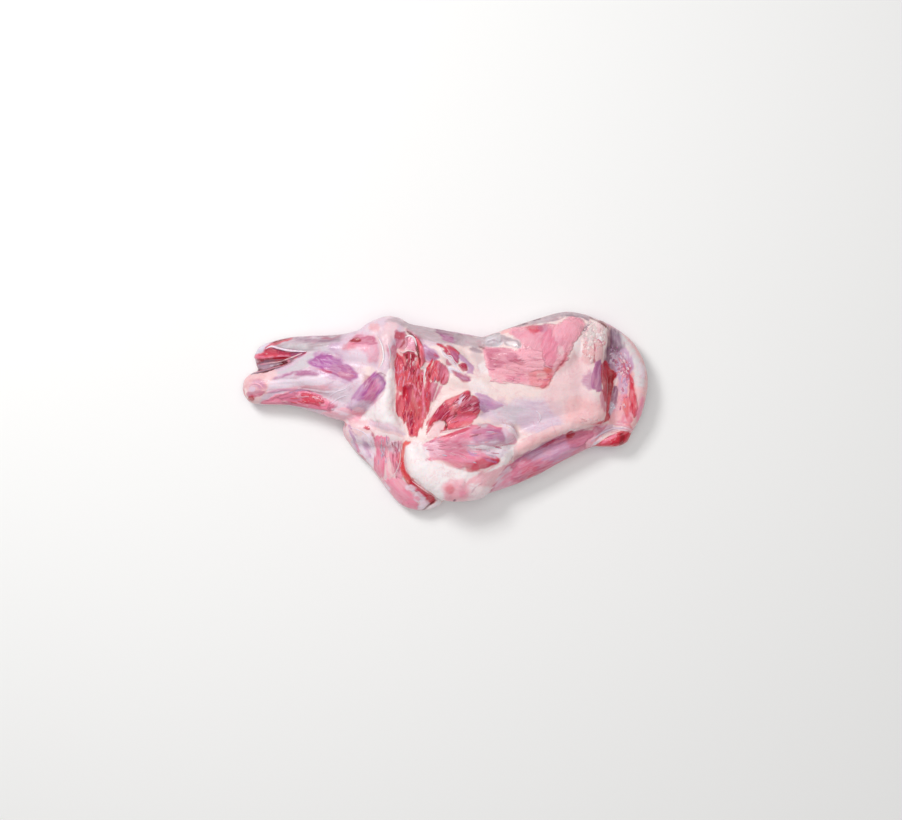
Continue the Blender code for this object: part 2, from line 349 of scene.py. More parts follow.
@dataclass(frozen=True)
class Mark:
    """One shade and tissue laid on an area of the flesh from above.

    Attributes:
        points: x, y, x, y of its outline or line.
        shade: Its colour.
        brush: How it covers, fades and rises.
        tissue: What it is made of, or None to keep what is there.
        grain: The direction of its fibres in degrees from +X, or None to keep what is there.
        hub: The point that its fibres fan out from, instead of one direction.
    """

    points: tuple[float, ...]
    shade: Shade
    brush: Brush
    tissue: Tissue | None
    grain: float | None
    hub: tuple[float, float] | None

    STEPS = 4
    # The depths at which its rise starts and is full.
    SLOPE = (-0.5, 6.0)
    # Its edge wanders with blots and, where it has fibres, with strands of this size.
    WANDER = 1.6
    BLOT = 6.4
    BLOT_SHARE, STRAND_SHARE = 0.5, 0.8
    STRAND = (10.0, 1.9, 9.0)
    # Its patches follow noise of this size between these values, stretched along the fibres.
    PATCH = 6.5
    PATCHES = (-0.1, 0.8)
    STRETCH = np.array((0.35, 1.0, 1.0))
    HUB_REACH = 35.0
    # It shows from this share of facing, and its grain holds from this share of cover.
    LEAST_FACING = 0.01
    GRAIN_FROM = 0.5

    def reach(self) -> float:
        """How far outside its points the mark can show."""
        return self.brush.soft + 2.0 * self.brush.ragged + 1.0

    def depth(self, plan: np.ndarray) -> np.ndarray:
        """How deep each plan position lies in the mark, in millimetres, negative outside."""
        return depth_inside(plan, smooth_line(self.points, self.STEPS, closed=True))

    def profile(self, depth: np.ndarray) -> np.ndarray:
        """How much of the rise is reached at each depth."""
        return smoothstep(*self.SLOPE, depth)

    def fibres(self, places: np.ndarray) -> np.ndarray | None:
        """Positions along and across the fibres, with the height, or None without a grain."""
        if self.hub is not None:
            away = places[:, :2] - self.hub
            turn = np.arctan2(away[:, 1], away[:, 0])
            return np.stack((np.linalg.norm(away, axis=1), turn * self.HUB_REACH,
                             places[:, 2]), axis=1)
        if self.grain is None:
            return None
        turn = math.radians(self.grain)
        along = places[:, 0] * math.cos(turn) + places[:, 1] * math.sin(turn)
        across = places[:, 1] * math.cos(turn) - places[:, 0] * math.sin(turn)
        return np.stack((along, across, places[:, 2]), axis=1)

    def wander(self, places: np.ndarray, fibres: np.ndarray | None, ripple: Ripple) -> np.ndarray:
        """How far the edge strays at each place."""
        blots = ripple.cloud(places, self.BLOT)
        if fibres is None:
            return self.WANDER * self.brush.ragged * blots
        stray = self.BLOT_SHARE * blots + self.STRAND_SHARE * ripple(fibres, self.STRAND)
        return self.WANDER * self.brush.ragged * stray

    def lay(self, surface: Surface, ripple: Ripple) -> None:
        """Lays the mark on the flesh.

        Args:
            surface: The flesh's points and layers, which this changes.
            ripple: The noise that its edge follows.
        """
        ends = np.asarray(self.points, float).reshape(-1, 2)
        near = np.all((surface.plan > ends.min(0) - self.reach())
                      & (surface.plan < ends.max(0) + self.reach()), axis=1)
        rows = np.flatnonzero(near & (surface.facing > self.LEAST_FACING))
        if not len(rows):
            return
        places, facing, soft = surface.places[rows], surface.facing[rows], self.brush.soft
        fibres = self.fibres(places)
        depth = self.depth(surface.plan[rows]) + self.wander(places, fibres, ripple)
        weight = smoothstep(-soft / 2, soft / 2, depth) * facing
        surface.lift[rows] += self.brush.rise * self.profile(depth) * facing
        patches = ripple.cloud(places if fibres is None else fibres * self.STRETCH, self.PATCH)
        thin = 1.0 - self.brush.patchy * smoothstep(*self.PATCHES, patches)
        strength = (weight * self.brush.cover * thin)[:, None]
        surface.tint[rows] += (self.shade.linear() - surface.tint[rows]) * strength
        if self.tissue is not None:
            target = np.array(self.tissue.value)
            surface.layers[rows] += (target - surface.layers[rows]) * strength
        if fibres is not None:
            held = weight > self.GRAIN_FROM
            surface.grain[rows[held]] = fibres[held]


class Line(Mark):
    """A mark along an open line, widest in its middle."""

    # How soon the line is full, and the depths of its rise as shares of its width.
    FULLNESS = 0.6
    OUTER, INNER = -0.6, 0.5

    def reach(self) -> float:
        """How far outside its points the mark can show."""
        return super().reach() + self.brush.width / 2

    def depth(self, plan: np.ndarray) -> np.ndarray:
        """How deep each plan position lies in the line's width."""
        gaps, along = line_distance(plan, smooth_line(self.points, self.STEPS))
        blunt, swell = self.brush.blunt, np.sin(np.pi * np.clip(along, 0, 1)) ** self.FULLNESS
        return self.brush.width / 2 * (blunt + (1 - blunt) * swell) - gaps

    def profile(self, depth: np.ndarray) -> np.ndarray:
        """A round ridge or groove across the line's width."""
        width = self.brush.width
        return smoothstep(width * self.OUTER, width * self.INNER, depth)


body = Brush(1.0, 1.6, 0.8)
pad = Brush(1.0, 1.6, 0.8, 0.6)
pit = Brush(0.9, 1.6, 1.2, -0.8)
film = Brush(0.9, 3.0, 1.2, patchy=0.3)
wash = Brush(0.7, 4.0, 1.5, patchy=0.3)
stain = Brush(0.75, 2.2, 0.9, patchy=0.3)
tinge = Brush(0.45, 4.0, 1.5, patchy=0.3)
hair = Brush(0.65, 1.4, 0.8, patchy=0.1, width=1.3)
streak = Brush(0.7, 2.0, 1.0, patchy=0.1, width=2.2)
band = Brush(0.65, 3.0, 1.0, patchy=0.1, width=3.8, blunt=0.5)
groove = Brush(0.75, 1.4, 0.8, -0.6, 0.1, width=1.5)
cord = Brush(0.95, 1.4, 0.8, 0.5, 0.1, width=1.7)


def knuckle_marks() -> list[Mark]:
    """The end of the shank: cream skin over the joint, folded round a small dimple."""
    return [
        *body(Shade.BLUSH, (-216, 12, -216, 34, -208, 42, -190, 44, -172, 42, -186, 18, -190, 8, -204, 2),
            tissue=Tissue.SOFT_FAT, soft=5),
        *tinge(Shade.PEACH, (-212, 30, -208, 38, -198, 41, -184, 39, -184, 33, -196, 32, -206, 28)),
        *film(Shade.PEACH, (-203, 31, -194, 33, -184, 31, -182, 24, -185, 18, -194, 16, -201, 18, -206,
            24), tissue=Tissue.MEMBRANE),
        *tinge(Shade.MAGENTA, (-196, 31, -186, 31, -184, 24, -190, 24)),
        *stain(Shade.PEACH, (-214, 24, -211, 13, -203, 6, -193, 4, -196, 9, -203, 13, -207, 22)),
        *cord(Shade.CREAM, (-211, 27, -209.5, 18, -204, 10.5, -195, 7.5)),
        *groove(Shade.PEACH, (-207, 24, -206, 16, -201.5, 10.5, -196, 8.5), cover=1),
        *cord(Shade.CREAM, (-204.5, 23, -203, 16, -199.5, 11.5)),
        *pit(Shade.DUSKY, (-202, 18, -197, 20, -186, 21, -188, 17, -199, 15), tissue=Tissue.VEILED,
            rise=-1),
        *pad(Shade.PALE_LILAC, (-201, 22, -199, 25, -195, 24, -196, 21), tissue=Tissue.GRISTLE),
        *pit(Shade.RUBY, (-200.5, 14, -198.5, 15.5, -196.5, 13.5, -198.5, 12), tissue=Tissue.BLOODY),
    ]


def shank_marks() -> list[Mark]:
    """The foreshank: muscles under silverskin, a bare red belly at its edge, a mauve window."""
    return [
        *film(Shade.PALE_LILAC, (-200, 8, -206, 44, -196, 80, -100, 86, -88, 70, -84, 20, -98, -14),
            tissue=Tissue.MEMBRANE, soft=10, grain=0),
        *stain(Shade.FELL, (-150, 66, -128, 70, -104, 72, -98, 62, -112, 58, -130, 59, -146, 62), soft=8),
        *stain(Shade.LILAC, (-120, 68, -104, 72, -98, 60, -100, 54, -112, 57), soft=7),
        # The glossy white silverskin band and the pearl stain on it: real silverskin, whose bright white
        # is partly a painted highlight.
        *pad(Shade.PEARL, (-183, 25, -182, 33, -165, 34, -140, 38, -118, 39, -104, 34, -110, 27),
            tissue=Tissue.GRISTLE, soft=4, grain=4),
        *film(Shade.MAUVE, (-179, 32, -158, 41, -148, 43, -138, 42, -128, 38, -136, 36, -148, 36),
            tissue=Tissue.VEILED, grain=10),
        *streak(Shade.MAUVE, (-177, 33, -154, 41, -132, 38), cover=0.5, grain=10),
        *stain(Shade.PEARL, (-174, 33, -160, 36, -146, 36, -150, 34, -166, 32), grain=10),
        *film(Shade.FELL, (-206, 39, -180, 43, -154, 53, -140, 62, -134, 56, -140, 47, -150, 42, -185, 36,
            -200, 35), tissue=Tissue.SOFT_FAT, grain=10),
        *cord(Shade.PALE_LILAC, (-190, 39.5, -176, 41.5, -164, 45, -154, 50.5, -146, 56.5, -138, 61),
            tissue=Tissue.MEMBRANE, width=3, grain=15),
        *stain(Shade.PETAL, (-183, 20, -154, 26, -116, 27, -102, 25, -118, 22, -136, 23),
            tissue=Tissue.VEILED, grain=3),
        *tinge(Shade.MAGENTA, (-180, 21, -168, 24, -158, 24, -152, 22, -172, 19), grain=3),
        *cord(Shade.PEARL, (-150, 23.5, -126, 20.5, -112, 19.5), tissue=Tissue.MEMBRANE),
        *wash(Shade.PALE_LILAC, (-122, 26, -112, 31, -101, 31, -97, 25, -102, 19, -112, 20),
            tissue=Tissue.VEILED, grain=30),
        *pad(Shade.CANDY, (-190, 9, -170, 18, -147, 22, -137, 21, -118, 10, -114, 5, -118, -1, -135, 3,
            -180, 4), tissue=Tissue.LEAN, grain=-4),
        *stain(Shade.DUSKY, (-177, 12, -170, 16, -152, 20, -157, 16, -172, 11), tissue=Tissue.LEAN,
            grain=10),
        *cord(Shade.PINK, (-178, 14.5, -157, 21, -147, 22.5, -137, 21.5)),
        *groove(Shade.LILAC, (-159, 19.5, -151, 21.5, -144, 22, -136, 20), cover=1),
        *wash(Shade.DUSKY, (-166, 9, -163, 14, -157, 17, -149, 17, -147, 11, -156, 8), grain=-4),
        *pad(Shade.LEAN, (-146, 18, -138, 19, -124, 11, -128, 7, -140, 8, -146, 12), tissue=Tissue.LEAN,
            grain=-20),
        *streak(Shade.SCARLET, (-146, 10, -136, 11, -126, 9), cover=0.5),
        *stain(Shade.BLOSSOM, (-188, 10, -181, 13, -170, 13, -165, 10, -180, 7), tissue=Tissue.MEMBRANE,
            grain=0),
        *stain(Shade.DUSKY, (-119, 7, -114, 11, -109, 9, -112, 4, -118, 0), tissue=Tissue.LEAN, grain=40),
        *wash(Shade.PEARL, (-120, 12, -115, 24, -102, 26, -97, 14, -106, 8), tissue=Tissue.MEMBRANE,
            soft=6),
        *pad(Shade.MAGENTA, (-140, 51, -126, 57, -108, 55, -102, 51, -90, 38, -93, 33, -103, 33, -133, 45),
            tissue=Tissue.VEILED, soft=4, grain=-20),
        *wash(Shade.MAUVE, (-120, 47, -108, 49, -97, 42, -94, 36, -104, 34, -114, 38),
            tissue=Tissue.VEILED, soft=6, grain=-20),
        *wash(Shade.DUSKY, (-108, 42, -98, 41, -92, 36, -98, 33, -106, 35), grain=-20),
        *streak(Shade.PLUM, (-139, 51, -123, 57, -114, 56.5)),
        *stain(Shade.LILAC, (-136, 45, -100, 32, -106, 30, -136, 42), tissue=Tissue.MEMBRANE),
        *streak(Shade.LEAN, (-136, 44, -126, 43, -116, 40)),
        *stain(Shade.PETAL, (-128, -4, -99, 5, -89, 2, -85, -6, -96, -12, -110, -12), tissue=Tissue.VEILED,
            grain=-20),
        *streak(Shade.PEARL, (-116, 2, -103, -2, -92, -5)),
        *tinge(Shade.PLUM, (-162, 92, -150, 93, -146, 88, -158, 86)),
    ]


def slot_marks() -> list[Mark]:
    """The open slot of the shank: a raw red face above, a grey membrane in the hollow below, with painted
    shade at its top edge, under its lip and in its hollow.
    """
    return [
        *film(Shade.DOVE, (-176, 68, -166, 73, -150, 77, -112, 79, -100, 82, -92, 78, -108, 71, -128, 67,
            -142, 62, -158, 63), tissue=Tissue.FELL, grain=5),
        *wash(Shade.GRISTLE, (-166, 67, -154, 69, -142, 68, -138, 63, -162, 64), tissue=Tissue.FELL),
        # Painted shade along the top edge, where the shank falls away from the light: an ash wash and two
        # plum bands.
        *wash(Shade.ASH, (-150, 76, -108, 77, -92, 82, -96, 77, -112, 72, -130, 70, -148, 72), grain=5),
        *band(Shade.PLUM, (-150, 75, -134, 73, -118, 74, -104, 77), cover=0.3),
        *band(Shade.PLUM, (-170, 76, -156, 78, -120, 79, -104, 82, -80, 92)),
        *streak(Shade.WINE, (-128, 76, -118, 75, -108, 77), cover=0.4),
        *body(Shade.RAW, (-202, 49, -201, 58, -186, 60, -183, 66, -177, 66, -165, 62.5, -142, 61, -149,
            56.5, -157, 53, -175, 51, -191, 50.5), tissue=Tissue.BLOODY, grain=5),
        *stain(Shade.LEAN, (-188, 58, -184, 63, -179, 65, -166, 60, -182, 57), tissue=Tissue.BLOODY,
            grain=5),
        *pit(Shade.WINE, (-170, 62, -144, 61, -150, 58, -168, 59), tissue=Tissue.BLOODY, grain=0),
        # Painted shadow: the dark line under the curled lip.
        *groove(Shade.PLUM, (-178.5, 63, -174, 64.5, -158, 61.5, -149, 61), cover=1),
        *stain(Shade.PLUM, (-158, 59, -142, 61, -148, 57, -154, 55), tissue=Tissue.VEILED, grain=20),
        *cord(Shade.CANDY, (-190, 54.5, -166, 57, -158, 56), rise=1),
        *groove(Shade.SCARLET, (-184, 53, -172, 54.5, -155, 54), cover=1, width=3),
        *stain(Shade.CANDY, (-203, 53, -200, 59, -186, 57, -190, 54)),
        # The grey membrane of the hollow, darkened partly with painted shade.
        *body(Shade.ASH, (-200, 40, -197, 48, -188, 51.5, -172, 51.5, -160, 53, -152, 56.5, -156, 51.5,
            -166, 47.5, -192, 41), tissue=Tissue.MEMBRANE, grain=15),
        *cord(Shade.PINK, (-190, 47, -180, 49.5, -160, 52), width=3, rise=0, grain=10),
        # Painted shade: the black line in the crease at the hollow's foot, laid as bloody tissue in a real
        # groove.
        *cord(Shade.BLOOD, (-198, 41.5, -188, 42, -178, 44, -159, 52), tissue=Tissue.BLOODY, width=3,
            rise=-1.5),
        *groove(Shade.CRIMSON, (-195, 49.5, -191, 49.5, -186.5, 50.5), width=3),
        *cord(Shade.CREAM, (-199, 50, -196.5, 47, -195.5, 43)),
        *pit(Shade.LEAN, (-186, 61, -184, 67, -166, 76, -157, 77, -158, 74, -176, 68, -182, 60),
            tissue=Tissue.BLOODY),
        *streak(Shade.BLOOD, (-180, 70, -170, 73.5, -160, 76.5)),
        *body(Shade.MIST, (-202, 57, -199, 63, -184, 69, -185, 64, -188, 60), tissue=Tissue.FELL),
    ]


def elbow_marks() -> list[Mark]:
    """The elbow: pink-cream fat over bone, a dusky window, a mauve oval, the white fat beside it."""
    return [
        *film(Shade.PALE_LILAC, (-108, 60, -102, 84, -80, 94, -58, 101, -44, 96, -42, 82, -50, 62, -50, 38,
            -68, 41, -84, 50, -98, 54), tissue=Tissue.SOFT_FAT, soft=6),
        *wash(Shade.BLUSH, (-64, 84, -56, 97, -47, 93, -50, 83, -62, 60, -66, 68)),
        *wash(Shade.PEARL, (-104, 50, -98, 60, -84, 60, -74, 50, -82, 46), soft=6),
        *stain(Shade.BLOSSOM, (-100, 66, -97, 74, -88, 79, -76, 78, -69, 71, -67, 60, -70, 51, -77, 51,
            -82, 60, -90, 65), tissue=Tissue.VEILED, cover=0.6, soft=7, grain=70),
        *film(Shade.DUSKY, (-97, 72, -90, 77, -78, 78, -70, 71, -76, 68, -88, 69), tissue=Tissue.VEILED,
            rise=-0.5, grain=10),
        *tinge(Shade.SCARLET, (-105, 64, -102, 70, -93, 70, -94, 64)),
        *pit(Shade.CRIMSON, (-98, 72, -92, 75, -86, 75, -86, 71), tissue=Tissue.BLOODY),
        *cord(Shade.BLUSH, (-70, 77, -66, 68, -65, 56, -68, 44), width=3),
        *groove(Shade.DUSKY, (-61, 70, -58, 62, -56, 44)),
        *stain(Shade.ROSE, (-57, 57, -56, 65, -52, 69, -49, 63, -50, 57, -53, 55), tissue=Tissue.VEILED),
        *body(Shade.MAGENTA, (-99, 4, -96, 13, -90, 22, -73, 40, -66, 38, -61, 32, -62, 22, -84, -1, -93,
            -2), tissue=Tissue.VEILED, soft=4, rise=1.5, grain=50),
        *wash(Shade.LILAC, (-99, 5, -96, 14, -88, 24, -79, 32, -81, 25, -92, 6), grain=50),
        *body(Shade.PETAL, (-95, -3, -93, 4, -86, 4, -83, -1, -88, -4), tissue=Tissue.VEILED, grain=20),
        *tinge(Shade.ASH, (-72, 33, -66, 38, -61, 33, -65, 28)),
        *groove(Shade.PEARL, (-79, 3, -69, 13, -62, 24, -60.5, 32), cover=0.5),
        *pad(Shade.IVORY, (-59, 41, -52, 43, -50, 30, -52, 16, -48, -4, -42, -20, -60, -14, -82, -11, -86,
            -6, -69, 10, -62, 20), tissue=Tissue.FAT),
        *tinge(Shade.BLOSSOM, (-84, 14, -76, 26, -68, 32, -66, 22, -74, 10), grain=50),
        *groove(Shade.PLUM, (-72, 37, -66, 39.5, -60, 36)),
        *stain(Shade.DOVE, (-62, 92, -50, 97, -36, 84, -52, 91), tissue=Tissue.FELL),
        *wash(Shade.MAGENTA, (-134, 60, -118, 60, -114, 50, -120, 44, -132, 46)),
        *tinge(Shade.CRIMSON, (-84, 36, -76, 36, -74, 26, -82, 24)),
    ]


def cut_marks() -> list[Mark]:
    """The long cut across the arm: ragged red lean, dark holes, a scrap of membrane at its head."""
    return [
        *pit(Shade.DUSKY, (-51, 82, -44, 81.5, -38, 77, -37, 71, -40, 64, -44, 62, -49, 63, -50.5, 70),
            tissue=Tissue.LEAN, grain=75),
        *stain(Shade.RUBY, (-50, 81, -44, 81, -41, 77, -45, 74, -50, 76)),
        *groove(Shade.CRIMSON, (-48.5, 63.5, -45, 67, -42.5, 71, -42, 74)),
        *pad(Shade.PINK, (-38, 75, -33, 76, -30, 70, -29, 61, -39, 61, -41, 64, -38, 69),
            tissue=Tissue.MEMBRANE),
        *pad(Shade.PEACH, (-49, 63.5, -45, 64.5, -41, 62, -42, 59, -46, 59.5), tissue=Tissue.FAT),
        *body(Shade.RAW, (-33, 79, -28, 75.5, -23, 68.5, -20.5, 60, -20.5, 52, -23, 45.5, -28, 44, -27, 55,
            -29, 66), tissue=Tissue.LEAN, grain=-70),
        *hair(Shade.BLOSSOM, (-24.5, 67, -21.5, 59, -22, 51)),
        *hair(Shade.SCARLET, (-26, 64, -24.5, 56, -24.5, 49)),
        *cord(Shade.BLOOD, (-38, 82, -33.5, 78.5, -30.5, 73, -25.5, 45), tissue=Tissue.BLOODY, width=3,
            rise=-1.5),
        *pit(Shade.SCARLET, (-50, 60, -44, 57.5, -40, 61, -33, 61.5, -28, 57, -27, 48, -23, 44, -20.5, 37,
            -20.5, 25, -19.5, 14, -21.5, -6, -26, -21, -30, -26, -35, -25, -39.5, -19, -41, -11, -46, -6,
            -50.5, 0, -51.5, 10, -47, 14, -46, 19, -51.5, 29, -53, 47, -50, 55), tissue=Tissue.LEAN,
            grain=90),
        *wash(Shade.RAW, (-52, 50, -49, 57, -44, 54, -41, 30, -44, 26, -50, 28, -52, 38), grain=85),
        *groove(Shade.WINE, (-49.5, 57.5, -45, 52, -42, 44, -41, 36)),
        *body(Shade.WINE, (-41, 61, -33, 61, -29, 58, -30, 53, -40, 55), tissue=Tissue.LEAN, grain=90),
        *pit(Shade.WINE, (-40, 55, -33, 55, -29, 50, -29, 44, -33, 41, -39, 42, -41, 48), cover=0.7,
            grain=90),
        *tinge(Shade.SCARLET, (-40, 42, -31, 43, -25, 40, -24, 33, -30, 32, -38, 34), grain=90),
        *groove(Shade.BLOOD, (-40, 57.5, -39.5, 55), (-38.5, 50, -38, 47), (-40.5, 46, -40, 43), (-31, 42,
            -30.5, 39), tissue=Tissue.BLOODY, blunt=0.6),
        *cord(Shade.BLOSSOM, (-41.5, 27.5, -39, 29, -35.5, 29, -32.5, 26.5, -30.5, 22, -31, 15)),
        *pit(Shade.WINE, (-43, 26, -33, 26, -33, 13, -37, 5, -41, 3, -44, 19), tissue=Tissue.BLOODY,
            rise=-2, grain=90),
        *pit(Shade.SCARLET, (-43, 24, -40, 24, -38, 18, -39, 10, -42, 8), tissue=Tissue.BLOODY, grain=90),
        *groove(Shade.CRIMSON, (-36.5, 26.5, -33.5, 26, -32, 23.5)),
        *wash(Shade.SCARLET, (-29, 19, -24, 17, -22, 6, -24, -4, -29, -2), grain=90),
        *streak(Shade.CANDY, (-30, 24, -27, 18, -28, 10)),
        *wash(Shade.RAW, (-50, 13, -45, 14, -42, 6, -43, -2, -47, -4, -51, 2), (-41, -7, -34, -4, -26, -7,
            -26, -18, -31, -25, -38, -21), grain=90),
        *film(Shade.RAW, (-49, 25, -47, 23, -47, 14, -51, 13), tissue=Tissue.FAT, rise=0.5),
        *pad(Shade.SCARLET, (-21, 43, -16, 49, -11.5, 53, -15.5, 40, -16.5, 33, -20, 32),
            tissue=Tissue.LEAN, grain=65),
        *pad(Shade.RAW, (-11, 53, -6, 52.5, -1, 47, 3, 40, 1.5, 31, -3, 28, -8, 31, -13, 30, -15, 36),
            tissue=Tissue.LEAN, grain=75),
        *stain(Shade.ROSE, (-9, 51, -3, 50, 2, 43, 3, 36, -1, 29, -6, 32), tissue=Tissue.LEAN, grain=70),
        *cord(Shade.RUBY, (-10.5, 53.5, -15, 41, -16, 36, -15.5, 30), rise=-1.5),
        *body(Shade.LEAN, (-20, 33, -15, 31, -12, 26, -15, 4, -17.5, -3, -20.5, -7, -21.5, 2),
            tissue=Tissue.LEAN, grain=85),
        *stain(Shade.SCARLET, (-19, 18, -16, 18, -15, 6, -18, -2, -20, 2), grain=85),
        *cord(Shade.CANDY, (-22.5, 38, -22, 8, -23, -6), tissue=Tissue.MEMBRANE),
        *cord(Shade.CANDY, (-24.5, 41, -22.5, 38.5, -21.5, 36.5), tissue=Tissue.FAT, width=3),
        *film(Shade.ROSE, (-14, 28, -10, 30, -6, 27, -12, 12, -15, 14), tissue=Tissue.MEMBRANE, ragged=2,
            grain=70),
        *hair(Shade.DUSKY, (-13, 12, -14.5, 2, -17, -6)),
        *stain(Shade.BLUSH, (-58, 56, -53, 57, -52, 46, -56, 44)),
        *stain(Shade.SCARLET, (-17, 46, -10, 46, -9, 40, -15, 39)),
        *stain(Shade.PEACH, (-78, 90, -68, 90, -68, 83, -76, 83)),
    ]


def veined_marks() -> list[Mark]:
    """The muscle at the upper edge, crossed by white seams, and the fell along that edge, with painted
    shade along the edge.
    """
    return [
        *film(Shade.DOVE, (-38, 92, -16, 90, 0, 86, 14, 80, 12, 70, -8, 70, -22, 74, -34, 80), (-42, 90,
            -30, 90, -12, 87, -12, 80, -24, 80, -36, 84), tissue=Tissue.FELL, grain=-10),
        # Painted shade along the top edge, where the meat falls away from the light.
        *band(Shade.PLUM, (-40, 93, 4, 85, 16, 80)),
        *stain(Shade.DUSKY, (-40, 84, -30, 79, -22, 72, -26, 68), tissue=Tissue.SOFT_FAT),
        *film(Shade.PLUM, (-9, 86, 11, 80, 11, 72, -6, 79), tissue=Tissue.VEILED, grain=-15),
        *stain(Shade.MAUVE, (-4, 78, 10, 75, 11, 70, 4, 71, -2, 74), tissue=Tissue.VEILED, grain=-15),
        # Painted shade along the top edge.
        *streak(Shade.PLUM, (-10, 85, 0, 83, 10, 80)),
        *film(Shade.ASH, (11, 80, 20, 77, 22, 70, 14, 69), tissue=Tissue.FELL),
        *stain(Shade.PALE_LILAC, (-24, 74, 4, 69, 8, 66, -4, 69, -12, 66, -22, 68), tissue=Tissue.VEILED),
        *pad(Shade.LILAC, (-22, 67, -14, 66, -8, 61, -5, 55, -10, 52, -19, 53), tissue=Tissue.VEILED,
            grain=-35),
        *stain(Shade.MAUVE, (-18, 62, -12, 63, -6, 57, -9, 53, -15, 54), tissue=Tissue.VEILED, grain=-35),
        *stain(Shade.SCARLET, (-11, 61, -6, 56, -9, 55, -12, 57), cover=0.6, grain=-35),
        *pad(Shade.LEAN, (-9, 69, -3, 68.5, 5, 66.5, 11, 63.5, 14.5, 58, 15, 52, 12, 49, 9, 51, 6.5, 55.5,
            2, 57, -1, 59, -2.5, 64), tissue=Tissue.LEAN, grain=-40),
        *stain(Shade.MAUVE, (3, 64, 10, 61, 14, 56, 14, 51, 10, 53), grain=-40),
        *stain(Shade.WINE, (-1, 66, 4, 64, 6, 60, 2, 58, -1, 61), grain=-40),
        *pad(Shade.ROSE, (1, 54, 3.5, 55.5, 8, 49, 4.5, 47.5, 1, 50), tissue=Tissue.LEAN, grain=-40),
        *pad(Shade.WINE, (12.5, 48.5, 17, 49, 21.5, 48, 23, 43.5, 19.5, 41, 16, 42.5),
            tissue=Tissue.BLOODY, grain=-30),
        *cord(Shade.IVORY, (-6, 67, -3, 61, 12, 45.5, 16, 40), tissue=Tissue.MEMBRANE, width=3),
        *pad(Shade.MIST, (4, 47, 15, 41, 12, 38, 5, 41), tissue=Tissue.MEMBRANE),
        *body(Shade.LILAC, (15, 58, 26, 50, 29, 44, 28, 39, 21, 38, 24, 46, 21, 50, 15, 51),
            tissue=Tissue.VEILED, grain=-40),
        *film(Shade.WINE, (8, 41, 14, 38, 25, 36, 25, 30, 20, 29, 14, 32), tissue=Tissue.VEILED, rise=0.5,
            grain=-20),
        *stain(Shade.MAUVE, (13, 38, 25, 35, 24, 30, 14, 33), tissue=Tissue.VEILED, grain=-20),
        *cord(Shade.ROSE, (-21.5, 52, -16, 50.5, -12, 53.5), tissue=Tissue.SOFT_FAT, rise=0),
        *film(Shade.DOVE, (10, 81, 24, 78, 40, 77, 42, 67, 37, 65, 24, 66, 11, 70), tissue=Tissue.FELL),
        # Painted shade along the top edge of this fell.
        *streak(Shade.UMBER, (12, 80, 26, 78, 41, 76), cover=0.5),
        *streak(Shade.BLOOD, (35.5, 66, 39.5, 65), blunt=0.9),
        *stain(Shade.ASH, (26, 66, 36, 64, 40, 60, 32, 60, 25, 63)),
    ]


